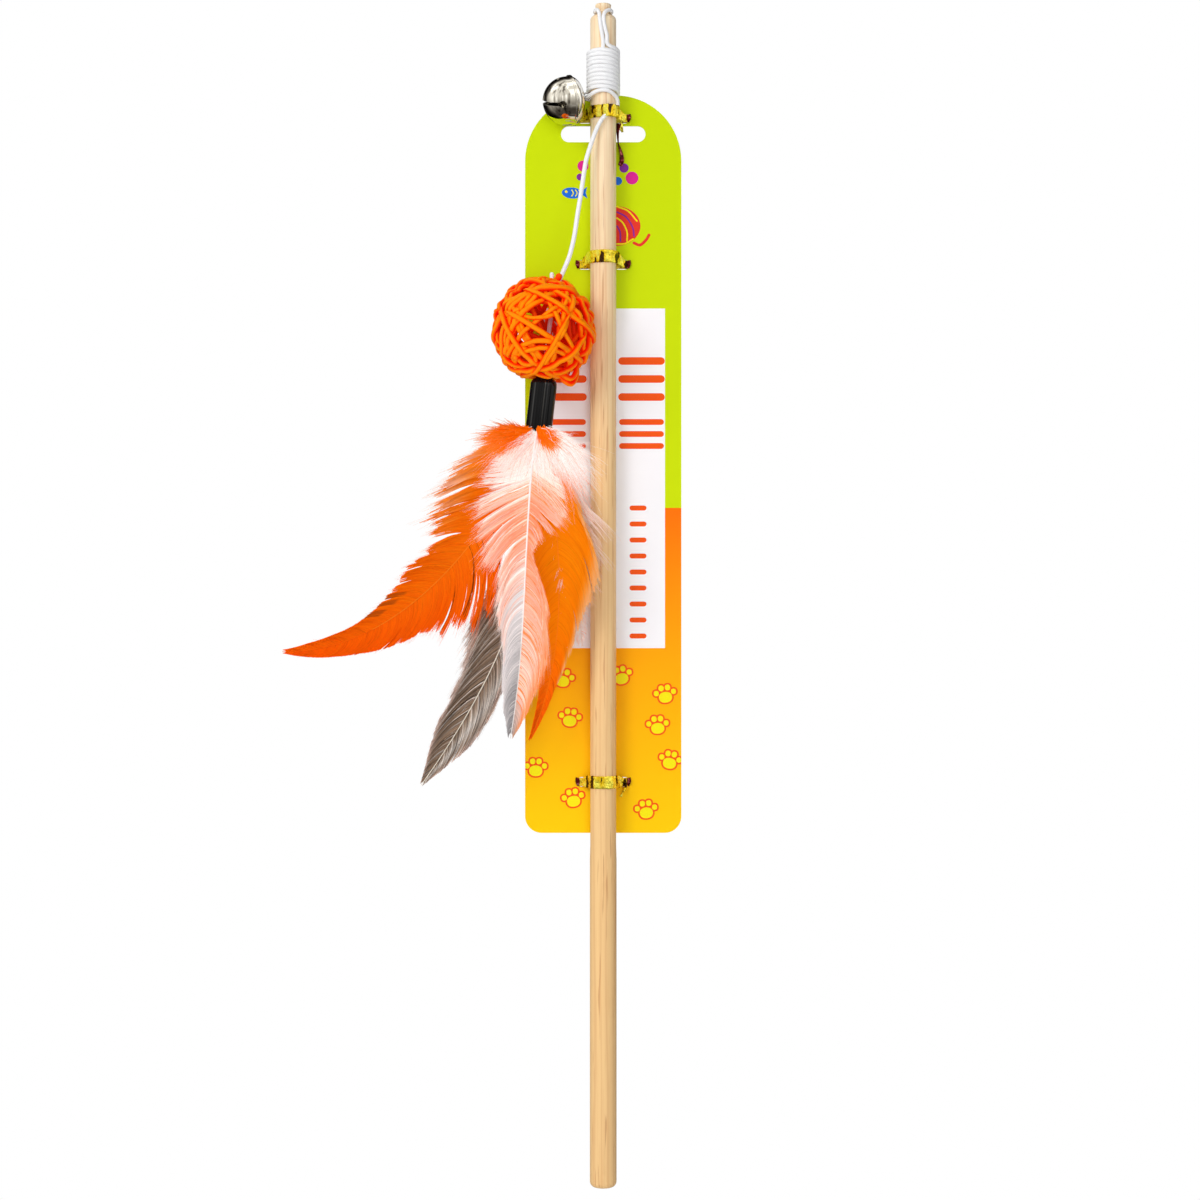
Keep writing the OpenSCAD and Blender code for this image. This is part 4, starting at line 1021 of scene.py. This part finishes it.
def strips(build, rows, widths, face, tints):
    """Ribbons: rows of points, half-widths, the way each faces, and colours."""
    count, steps = rows.shape[:2]
    t = unit(np.gradient(rows, axis=1))
    side = unit(np.cross(t, face))
    verts = np.stack([rows + widths[..., None] * side, rows - widths[..., None] * side], 2)
    index = np.arange(count * steps * 2).reshape(count, steps, 2)
    quads = np.stack([index[:, :-1, 0], index[:, 1:, 0], index[:, 1:, 1], index[:, :-1, 1]], -1).reshape(-1, 4)
    build.add(verts.reshape(-1, 3), quads.tolist(), None, np.repeat(tints, 2, axis=1).reshape(-1, 3))


def spread_of(values, s):
    return np.interp(s, np.linspace(0, 1, len(values)), values)


def arch(a, b, c, u):
    """Rows of points along arches from a to c, drawn to b."""
    return (1 - u) ** 2 * a[:, None] + 2 * u * (1 - u) * b[:, None] + u * u * c[:, None]


def vane(build, spine, barb, left, right, sweep, colour, seed, step=0.14, width=0.5, lock=(7, 40), pull=(0.3, 0.1),
         ragged=(0.05, 0.02), angle=((0.5, 1.2), (0.5, 1.2)), bow=0.6, wisps=(0.3, 0.2), loose=(0, 0),
         cleft=(0.004, 0.001), tilt=0.22, curve=0.4):
    """Both sides of a feather: barbs in locks, whose ends follow the outline that left and right give.

    A row of numbers is spread evenly from the feather's root to its tip."""
    rng = np.random.default_rng(seed)
    length = np.linalg.norm(np.diff(bezier(spine, np.linspace(0, 1, 80)), axis=0), axis=1).sum()
    c, sn = cos(radians(sweep)), sin(radians(sweep))
    for side_sign, reaches, lean in ((1, left, angle[0]), (-1, right, angle[1])):
        count = int(length / step)
        s = np.sort(np.clip(np.linspace(0, 1, count) + rng.normal(0, 0.3 / count, count), 0, 1))
        reach = spread_of(reaches, s)
        s, reach = s[reach > 0.35], reach[reach > 0.35]
        edges = [0]
        while edges[-1] < len(s):
            edges.append(edges[-1] + int(lock[0] * (lock[1] / lock[0]) ** rng.random()))
        edges = np.array(edges)
        group = np.searchsorted(edges, np.arange(len(s)), side="right") - 1
        inside = (np.arange(len(s)) - edges[group]) / (edges[group + 1] - edges[group])
        total = group.max() + 1
        middle = np.array([s[group == g].mean() for g in range(total)])
        tight, rough, slit, free = (spread_of(v, middle)[group] for v in (pull, ragged, cleft, loose))
        def each_lock(amount):
            return rng.normal(0, amount, total)[group]

        def each_barb(amount, *more):
            return rng.normal(0, amount, (len(s), *more))

        far = s + (middle[group] - s) * tight + each_lock(1) * slit + each_barb(1) * (0.001 + free)
        far = np.clip(far, 0, 1)
        end_reach = spread_of(reaches, far) * (1 + each_lock(1) * rough) * (1 + each_barb(0.6) * rough)
        end_reach *= 1 - 0.16 * tight * (2 * inside - 1) ** 2
        ahead = heading(spine, far)
        end = bezier(spine, far) + end_reach[:, None] * (
            c * side_sign * unit(np.cross(ahead, FRONT)) + sn * (end_reach / barb)[:, None] * ahead)
        root_s = np.clip(s - spread_of(lean, s) * reach / length, 0.0, 1)
        root = bezier(spine, root_s)
        t_root = heading(spine, root_s)
        side_root = unit(np.cross(t_root, FRONT)) * side_sign
        span = np.linalg.norm(end - root, axis=1)
        control = root + span[:, None] * (curve * side_root + (0.62 - curve) * t_root)
        u = np.linspace(0, 1, 10)[None, :, None]
        flat = u[..., 0]
        rows = arch(root, control, end, u)
        along_root = t_root[:, None]
        face = (np.broadcast_to(FRONT, rows.shape) + each_barb(0.09, 1, 3) + 0.1 * side_root[:, None]
                + (tilt * (inside - 0.4))[:, None, None] * along_root)
        depth = (each_lock(0.45) + 0.5 * tilt * inside + each_barb(0.1))[:, None] * flat
        arched = bow * np.sin(np.pi * flat * 0.7) * np.minimum(1, span / 8)[:, None]
        rows[..., 1] += depth - arched - 0.11 * span[:, None] * flat ** 2
        wave = each_barb(1, 1) * np.sin(2.5 * flat * np.pi) * 0.01 * span[:, None]
        rows += wave[..., None] * along_root * (1 + 60 * free)[:, None, None]
        curly = rng.normal(0, 9, (2, len(s), 1, 1)) * free[:, None, None]
        sway = np.sin(rng.uniform(2, 5, (len(s), 1, 1)) * u)
        rows += (curly[0] * sway * along_root + 0.5 * curly[1] * u * FRONT) * u
        flat = np.broadcast_to(flat, rows.shape[:2])
        body = width * np.clip(1.12 - flat, 0.12, 1) ** 0.6 * rng.uniform(0.75, 1.2, (len(s), 1))
        body = np.minimum(body, 0.11 * span[:, None] + 0.1)
        tints = colour(np.broadcast_to(s[:, None], flat.shape), flat, side_sign, rng, inside[:, None], group)
        strips(build, rows, body / 2, face, linear(np.clip(tints, 0, 255)))
        pick = rng.random(len(s)) < spread_of(wisps, s)
        if pick.any():
            more = rows[pick].copy()
            push = 1 + rng.uniform(0.0, 0.22, (pick.sum(), 1, 1)) * spread_of(wisps, s[pick])[:, None, None] * u ** 2
            more = (more[:, :1] + (more - more[:, :1]) * push + rng.normal(0, 0.35, (pick.sum(), 1, 3)) * u ** 2
                    + 0.15 * FRONT)
            strips(build, more, np.full(more.shape[:2], 0.055) * (1.2 - flat[pick]), face[pick],
                   linear(np.clip(tints[pick] * 1.03 + 6, 0, 255)))


def down(build, root, fan, colour, seed, clumps, hairs, width=0.15, mouth=(2.2, 2.0, 1.5), fall=0.3, spread=0.1,
         depth=0.2, lean=0.3):
    """Soft hairs in clumps. fan: angles from straight down towards +X, and how far the hairs reach there."""
    rng = np.random.default_rng(seed)
    angles, reaches = np.array(fan, dtype=float).T
    pick = rng.random(clumps)
    theta = np.radians(spread_of(angles, pick))
    reach = spread_of(reaches, pick) * rng.uniform(0.4, 1.0, clumps) ** 0.7
    start = np.array(root) - np.abs(rng.normal(0, 0.5, (clumps, 3))) * (0, 0, mouth[2]) \
        + rng.uniform(-1, 1, (clumps, 3)) * (mouth[0], mouth[1], 0)
    yaw = rng.normal(lean, depth, clumps)

    def aim(angle):
        return np.stack([np.sin(angle), -yaw, -np.cos(angle)], -1)

    bend = start + 0.5 * reach[:, None] * aim(theta * (1 + 0.4 * fall))
    tip = bend + 0.5 * reach[:, None] * aim(theta * (1 - fall))
    start, bend, tip, reach, theta = (np.repeat(v, hairs, axis=0) for v in (start, bend, tip, reach, theta))
    size = reach[:, None]
    begin = start + rng.normal(0, 1, start.shape) * (0.25, 0.25, 0.8)
    bend = bend + rng.normal(0, 0.5 * spread, start.shape) * size
    tip = begin + (tip - start) * rng.uniform(0.5, 1.06, (len(begin), 1)) + rng.normal(0, spread, start.shape) * size
    u = np.linspace(0, 1, 9)[None, :, None]
    rows = arch(begin, bend, tip, u)
    kink = rng.normal(0, 0.022, (len(begin), 1, 3)) * size[:, None]
    rows += kink * np.sin(u * rng.uniform(4, 9, (len(begin), 1, 1)))
    past = np.maximum(DOWN_FRONT - rows[..., 1], 0)
    rows[..., 1] += past - DOWN_SPARE * np.tanh(past / DOWN_SPARE)
    flat = np.broadcast_to(u[..., 0], rows.shape[:2])
    body = width * (1.1 - flat) ** 0.7 * rng.uniform(0.6, 1.4, (len(begin), 1))
    face = np.broadcast_to(FRONT, rows.shape) + rng.normal(0, 0.15, (len(begin), 1, 3))
    tints = colour(np.broadcast_to(theta[:, None], flat.shape), flat, 0, rng, None, None)
    strips(build, rows, body / 2, face, linear(np.clip(tints, 0, 255)))


def shaft(build, spine, r0, r1, lift, crest, near, far):
    s = np.linspace(0, 1, 80)
    line = bezier(spine, s) + (lift + crest * np.exp(-((s - 0.13) / 0.1) ** 2))[:, None] * FRONT
    tube(build, line, r0 + (r1 - r0) * s ** 0.8, 8, tint=linear(np.where(s[:, None] < 0.7, near, far)))


def layered(base, *steps):
    """A colour with others laid on it, each by its own share."""
    for colour, share in steps:
        base = base + np.subtract(colour, base) * np.clip(share, 0, 1)[..., None]
    return base


def shade_of(base, rng, shape, amount, streak=0.0, dark=None):
    """A light or dark cast for each barb, and a few dark ones."""
    cast = 1 + rng.normal(0, amount, (shape[0], 1))
    found = base * cast[..., None]
    if dark is not None:
        found = layered(found, (dark, 0.65 * (rng.random((shape[0], 1)) < streak)))
    return found


def plain_colour(near, far, change, *cast):
    """A colouring that turns from near to far by change, with a cast."""
    def colour(s, u, side, rng, inside, group):
        return shade_of(layered(near, (far, change(s, u))), rng, s.shape, *cast)
    return colour


def long_colour(s, u, side, rng, inside, group):
    base = layered((255, 124, 2), ((255, 108, 0), (s - 0.1) * 2.5),
                   ((254, 90, 0), (s - 0.6) * 1.8 + (0.25 if side < 0 else 0)))
    if side > 0:
        base = layered(base, ((255, 184, 152), (u - 0.55) * 2.4 * np.clip(1.5 - 3.6 * s, 0, 1) * (0.3 + inside)))
        # Painted shade: some locks turn dark brownish along their outer, lower part.
        shaded_locks = np.sin(group * 12.9898)[:, None] > 0.62
        base = layered(base, ((140, 62, 16), 0.45 * (shaded_locks & (u > 0.45) & (s > 0.28) & (s < 0.82) & (inside > 0.4))))
    else:
        base = layered(base, ((250, 88, 0), u * 0.6))
    # Painted shade: a few dark brown barbs on the lower side stand for the dark slits between locks.
    slit_shade = 0.02 * (s[:, :1] > 0.22) * (s[:, :1] < 0.6) * (side < 0)
    return shade_of(base, rng, s.shape, 0.04, slit_shade, (80, 26, 8))


def pale_colour(s, u, side, rng, inside, group):
    white = (255, 246, 241)
    base = layered(white, ((255, 158, 122), (s - 0.16) * 6), ((255, 222, 208), (u - 0.35) * 0.8))
    if side > 0:
        base = layered(base, ((226, 219, 218), (s - 0.47 + 0.1 * (inside - 0.5)) * 5 * (1 - 0.35 * u)),
                       # Painted highlight at each lock's upper edge (whiter barbs) and painted shade at its lower edge
                       # (deeper orange).
                       ((255, 246, 242), np.clip(0.25 - inside, 0, 1) * 4 * (s < 0.6)),
                       ((255, 122, 60), np.clip(inside - 0.8, 0, 1) * 4 * (s > 0.2) * (s < 0.5)),
                       ((168, 164, 164), (s - 0.7) * 4 * (1 - u)))
    else:
        base = layered(base, ((255, 206, 184), (s - 0.6) * 4),
                       ((255, 168, 112), (s - 0.4) * 5 * np.clip(u - 0.45, 0, 1)))
    base = layered(base, ((146, 143, 144), (s - 0.87) * 9 - u * 0.3 - (0.4 if side < 0 else 0)),
                   (white, np.clip(rng.normal(-0.15, 0.35, (s.shape[0], 1)), 0, 0.6)))
    found = shade_of(base, rng, s.shape, 0.05)
    often, until = (0.07, 0.66) if side > 0 else (0.22, 0.95)
    warm = (rng.random((s.shape[0], 1)) < often) & (s > 0.2) & (s < until)
    return layered(found, ((255, 128, 50), 0.7 * warm))


def grey_colour(s, u, side, rng, inside, group):
    base = layered((184, 158, 140), ((142, 118, 98), (s - 0.35) * 4))
    if side < 0:
        base = layered(base, ((214, 206, 198), (s > 0.42) * (0.9 - np.abs(u - 0.45) * 2.4)))
    # Pinker barb tips are the feather's own colour; whiter barbs at each lock's start are a painted highlight on the
    # lock's upper edge.
    base = layered(base, ((240, 204, 190), (u - 0.75) * 3.0), ((226, 216, 208), np.clip(0.2 - inside, 0, 1) * 4))
    return shade_of(base, rng, s.shape, 0.12, 0.12, (40, 32, 28))


def right_colour(s, u, side, rng, inside, group):
    base = layered((255, 148, 10), ((255, 134, 0), (s - 0.15) * 4), ((255, 100, 4), (s - 0.7) * 4),
                   ((255, 206, 166), (u - 0.72) * 2.6 * (1 if side < 0 else 0.1) * (s < 0.8)))
    return shade_of(base, rng, s.shape, 0.03)


# The few darker barbs (220, 130, 90) are painted shade, for barbs lying in shadow.
wisp_colour = plain_colour((255, 244, 238), (255, 216, 202), lambda s, u: u * 0.8 + (s - 0.5) * 0.5, 0.03, 0.08,
                           (220, 130, 90))
white_colour = plain_colour((255, 253, 251), (255, 236, 229), lambda s, u: (u - 0.3) * 0.9 + np.clip(-s, 0, 1) * 0.5,
                            0.06, 0.13, (255, 158, 122))
salmon_colour = plain_colour((255, 178, 146), (255, 206, 188), lambda s, u: u, 0.04, 0.25, (255, 112, 20))
tuft_colour = plain_colour((255, 118, 0), (255, 176, 110), lambda s, u: (u - 0.7) * 2.2, 0.05)

# Piece, slot, node, material, spine, length of the barbs, the outline's two sides from root to tip, its sweep,
# colour, shaft, and how the barbs lie
feathers = [
    ("long_orange_feather", "orange_feather", "feather_long", vane_mat,
     [(-22.4, -20, -101.2), (-38.7, -20.8, -144.6), (-73.4, -22.5, -178.7), (-107.2, -23.4, -177.0)], 22.1,
     [3.7, 22.1, 21.8, 19.6, 14.2, 9.6, 10.6, 8.0, 6.1, 4.4, 3.8, 2.7, 0.6],
     [1.7, 2.6, 4.3, 9.0, 17.6, 20.6, 16.0, 11.0, 9.2, 6.6, 4.4, 2.5, 0.6], 30, long_colour,
     (0.22, 0.08, 0.15, 0, (255, 134, 30), (255, 106, 8)),
     dict(width=0.6, lock=(6, 60), pull=(0.35, 0.3, 0.45, 0.16, 0.04, 0.02),
          ragged=(0.07, 0.08, 0.08, 0.02, 0.005, 0.005), cleft=(0.004, 0.004, 0.008, 0.002, 0, 0),
          angle=((0.1, 0.4, 0.7, 1.1, 1.7, 2.4), (0.2, 0.3, 0.5, 1.0, 1.7, 2.4)),
          wisps=(0.9, 0.9, 0.9, 0.4, 0.1, 0.1), loose=(0.003, 0.003, 0.001, 0, 0, 0))),
    ("pale_feather", "pale_feather", "feather_pale", vane_mat,
     [(-21.8, -20.8, -101.3), (-27.2, -22.5, -131), (-24.8, -25, -172), (-31.0, -26, -205.9)], 24.8,
     [0, 13.0, 18.0, 18.6, 18.4, 14.6, 9.4, 9.2, 7.8, 6.6, 5.6, 4.0, 0.8],
     [0, 5.0, 11.0, 14.0, 9.5, 2.4, 5.0, 8.0, 9.4, 9.6, 8.0, 4.4, 0.8], 30, pale_colour,
     (0.4, 0.14, 0.7, 5.5, (255, 253, 250), (240, 236, 232)),
     dict(step=0.12, width=0.42, lock=(8, 80), pull=(0.3, 0.25, 0.25, 0.15, 0.1, 0.1),
          ragged=(0.12, 0.1, 0.09, 0.08, 0.06, 0.02), cleft=(0.006, 0.006, 0.01, 0.004, 0.001, 0),
          angle=((0.0, 0.0, 0.3, 1.1, 1.5, 2.0, 2.4), (0.1, 0.3, 0.7, 1.2, 1.6, 2.0, 2.4)),
          wisps=(1, 1, 1, 0.9, 0.5, 0.1), loose=(0.004, 0.003, 0.002, 0.001, 0, 0))),
    ("grey_feather", "grey_feather", "feather_grey", vane_mat,
     [(-21, -19.1, -101.4), (-20, -19, -150), (-34, -18.2, -184), (-61.3, -17.4, -222.1)], 8.3,
     [0, 0, 0, 0, 4.5, 10.5, 12.0, 10.5, 8.6, 8.1, 7.3, 4.6, 0.5],
     [0, 0, 0, 0, 0, 1.0, 3.6, 5.2, 6.6, 8.0, 6.9, 4.1, 0.5], 25, grey_colour,
     (0.36, 0.12, 0.5, 0, (250, 240, 222), (250, 240, 222)),
     dict(step=0.1, width=0.26, lock=(8, 40), pull=(0.3, 0.3, 0.15, 0.05), ragged=(0.25, 0.2, 0.05, 0.02),
          angle=((1.2, 1.6, 2.8, 3.4), (1.2, 1.6, 2.8, 3.4)), cleft=(0.004, 0.002), wisps=(0.9, 0.8, 0.5, 0.0),
          loose=(0.004, 0.003, 0, 0), curve=0.25)),
    ("right_orange_feather", "orange_feather", "feather_right", vane_mat,
     [(-20.5, -18.3, -101.4), (-14.5, -17.5, -137), (-10, -16, -175), (-24.9, -15.8, -207.2)], 13.2,
     [0, 6.0, 9.5, 12.0, 13.5, 14.0, 12.0, 8.5, 5.6, 4.2, 3.1, 1.8, 0.4],
     [0, 0.1, 6.5, 10.5, 14.0, 14.6, 11.5, 8.0, 6.2, 4.2, 2.6, 1.4, 0.3], 30, right_colour,
     (0.26, 0.1, 0.05, 0, (255, 136, 24), (255, 136, 24)),
     dict(step=0.12, width=0.55, lock=(10, 80), pull=(0.25, 0.2, 0.1), ragged=(0.06, 0.04, 0.02),
          angle=((0.3, 0.9, 1.4, 1.6), (0.4, 0.9, 1.6, 1.8)), cleft=(0.003, 0.001), wisps=(0.7, 0.5, 0.2))),
    ("pink_wisp_feather", "pale_feather", "feather_wisp", down_mat,
     [(-21.4, -17.4, -101.3), (-17, -16, -118), (-8, -14.5, -145), (-7.3, -14.2, -175.5)], 10.1,
     [0, 2.7, 4.2, 5.2, 6.2, 7.1, 6.8, 6.4, 5.7, 5.2, 4.7, 3.9, 1.2],
     [0, 0, 4.6, 6.5, 8.4, 9.2, 10.1, 9.5, 8.9, 6.5, 4.2, 2.4, 0.3], 25, wisp_colour,
     (0.3, 0.1, 0.35, 0, (250, 226, 214), (250, 226, 214)),
     dict(width=0.18, lock=(3, 10), pull=(0.4, 0.4), ragged=(0.2, 0.2), angle=((0.9, 1.2), (0.6, 0.9)),
          loose=(0.006, 0.006), wisps=(0.8, 0.8)))]
for seed, (name, slot, node, mat, spine, barb, left, right, sweep, colour, quill, lie) in enumerate(feathers, 21):
    f = Build()
    vane(f, spine, barb, left, right, sweep, colour, seed, **lie)
    shaft(f, spine, *quill)
    f.piece(name, mat, "tassel", slot, [node])

# Piece, slot, node, colour, and each layer's root, fan, seed, clumps, hairs and lie
downs = [
    ("white_down", "down", "down_white", white_colour, [
        ((-21.6, -20.4, -102.4), [(-66, 8), (-58, 16), (-46, 20), (-25, 20), (0, 17), (25, 23), (42, 28), (54, 28),
                                  (64, 22), (74, 10)], 26, 300, 16, {}),
        ((-21.6, -20.4, -102.4), [(-78, 14), (-66, 20), (-54, 26), (-40, 27), (20, 26), (40, 32), (56, 31)], 36, 130, 6,
         dict(width=0.1, spread=0.06))]),
    ("salmon_down", "down", "down_salmon", salmon_colour, [
        ((-21.8, -17.4, -102.4), [(-56, 20), (-40, 29), (-20, 30), (0, 24), (20, 30), (34, 34), (48, 26)], 27, 150, 14,
         dict(width=0.2, spread=0.07, depth=0.1, lean=0.0))]),
    ("left_tuft", "orange_feather", "tuft_left", tuft_colour, [
        ((-24.2, -22.0, -104.0), [(-112, 8), (-100, 13), (-90, 17), (-80, 19), (-70, 18), (-58, 13)], 28, 150, 14,
         dict(width=0.28, mouth=(1.4, 0.6, 0.4), fall=0.1, spread=0.08, depth=0.08, lean=0.6))]),
    ("right_tuft", "orange_feather", "tuft_right", tuft_colour, [
        ((-20.6, -23.4, -103.4), [(6, 4), (20, 6), (34, 9), (48, 9.5), (62, 8), (78, 5)], 29, 90, 14,
         dict(width=0.28, mouth=(1.4, 0.6, 0.4), fall=0.1, spread=0.08, depth=0.08, lean=0.75))])]
for name, slot, node, colour, layers in downs:
    f = Build()
    for root, fan, seed, clumps, hairs, lie in layers:
        down(f, root, fan, colour, seed, clumps, hairs, **lie)
    f.piece(name, down_mat, "tassel", slot, [node])
for name in ("pale_feather", "white_down", "salmon_down", "left_tuft", "right_tuft"):
    bpy.data.objects[name].visible_shadow = False
